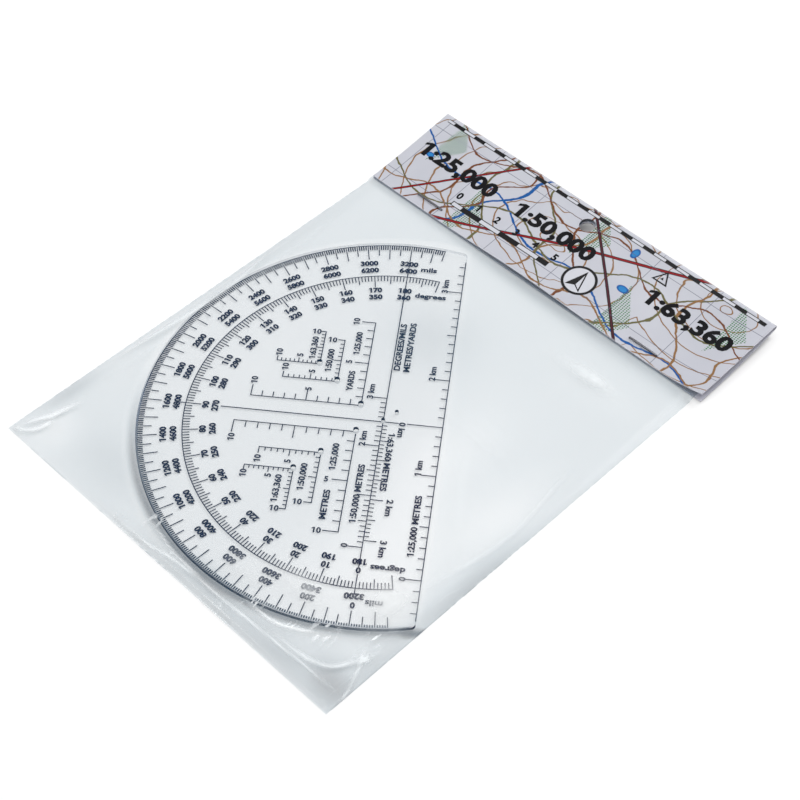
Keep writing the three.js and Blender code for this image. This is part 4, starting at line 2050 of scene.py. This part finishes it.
        front = self.wall(True)
        self.mark(front)
        bag = joined([front, self.wall(False)], "film_bag")
        with editing():
            bpy.ops.mesh.remove_doubles(threshold=self.merge)
        with editing(in_hole):
            bpy.ops.mesh.delete(type="FACE")
        with editing(in_corner):
            bpy.ops.mesh.quads_convert_to_tris(quad_method="FIXED_ALTERNATE")
        smooth(bag, 60)
        settle(bag, Matrix.Identity(4))
        dress(bag, Film().material())
        finished(bag, Body.PACK, Slot.FILM, "poly_bag")


# The studio


@dataclass(frozen=True)
class Lamp:
    """A soft lamp. One with no aim faces straight down."""

    name: str
    place: Spot
    size: tuple[float, float]
    radiance: float
    aimed: bool = True

    def hang(self) -> None:
        """Hangs the lamp."""
        light = bpy.data.lights.new(self.name, "AREA")
        light.shape = "RECTANGLE"
        light.size, light.size_y = self.size
        light.energy = self.radiance * math.pi * self.size[0] * self.size[1]
        lamp = bpy.data.objects.new(self.name, light)
        lamp.location = self.place
        if self.aimed:
            lamp.rotation_euler = (-Vector(self.place)).to_track_quat("-Z", "Y").to_euler()
        bpy.context.scene.collection.objects.link(lamp)


@dataclass(frozen=True)
class Studio:
    """A white table, soft lamps and the photograph's camera."""

    table_size: float = 6.0
    table_tint: Colour = (0.56, 0.56, 0.56)
    table_glow: float = 0.43
    lit_within: float = 220.0
    fade: float = 260.0
    lens: float = 82.37
    eye: Spot = (0.27525, -0.27704, 0.46273)
    tilt: tuple[float, float, float] = (39.612, -0.095, 44.912)
    sky_light: float = 0.2
    lamps: tuple[Lamp, ...] = (
        Lamp("window", (-0.33, 0.33, 0.80), (0.15, 0.30), 1.7, False),
        Lamp("back_softbox", (0.20, 1.15, 1.05), (1.2, 0.9), 4.7),
        Lamp("front_softbox", (-0.50, -0.90, 0.90), (0.8, 0.6), 3.2),
        Lamp("top_softbox", (0.10, -0.10, 1.5), (1.0, 1.0), 3.0),
    )

    def table(self) -> None:
        """Lays the table, which looks white to the camera and still takes shadows, with a painted
        shadow under the card.
        """
        deselect()
        bpy.ops.mesh.primitive_plane_add(size=self.table_size, location=(0, 0, -0.0002))
        table = named("table")
        paint = Paint("white_table")
        x, y, _ = paint.plan()
        away = paint.math("SQRT", x * x + y * y)
        far = ((away - self.lit_within) / self.fade).held()
        card = Card()
        u, v, _ = paint.plan(card.origin(), card.skew)
        half_long, half_high = card.width() / 2, card.height / 2
        # Painted shadow under the card: the glow is taken away there, which darkens the hang hole.
        card_shadow = u.near(0, half_long - 1, 2) * v.near(half_high, half_high - 1, 2)
        glow = paint.backdrop() * (far * (1 - self.table_glow) + self.table_glow) * (1 - card_shadow)
        paint.set(
            Base_Color=self.table_tint,
            Roughness=0.9,
            Specular_IOR_Level=0.0,
            Emission_Color=paint.grey(glow),
            Emission_Strength=1.0,
        )
        dress(table, paint.material)

    def sky(self) -> None:
        """Sets a plain sky, white behind the table and dim as a light."""
        world = bpy.data.worlds.new("studio")
        bpy.context.scene.world = world
        world.use_nodes = True
        sky = Graph(world.node_tree)
        strength = sky.backdrop() * (1 - self.sky_light) + self.sky_light
        lit = sky.node("ShaderNodeBackground", inputs={"Color": (1, 1, 1, 1), "Strength": strength})
        sky.node("ShaderNodeOutputWorld", inputs={"Surface": lit.outputs[0]})

    def camera(self) -> None:
        """Puts the camera where the photograph was taken from."""
        data = bpy.data.cameras.new("camera")
        data.lens, data.sensor_width = self.lens, 36.0
        data.clip_start, data.clip_end = 0.01, 20.0
        camera = bpy.data.objects.new("camera", data)
        camera.location = self.eye
        camera.rotation_euler = [math.radians(angle) for angle in self.tilt]
        bpy.context.scene.collection.objects.link(camera)
        bpy.context.scene.camera = camera

    def build(self) -> None:
        """Sets up table, sky, lamps and camera."""
        self.table()
        self.sky()
        for lamp in self.lamps:
            lamp.hang()
        self.camera()
        bpy.context.scene.view_settings.view_transform = "Standard"


def main() -> None:
    """Builds the pack round the frame."""
    logging.basicConfig(level=logging.INFO, format="%(name)s: %(message)s")
    Studio().build()
    Protractor().build()
    card = Card()
    card.build()
    card.numbers(Lettering(thickness=0.05, weight=0.045))
    Staples().build()
    Bag(card).build()


if __name__ == "__main__":
    main()
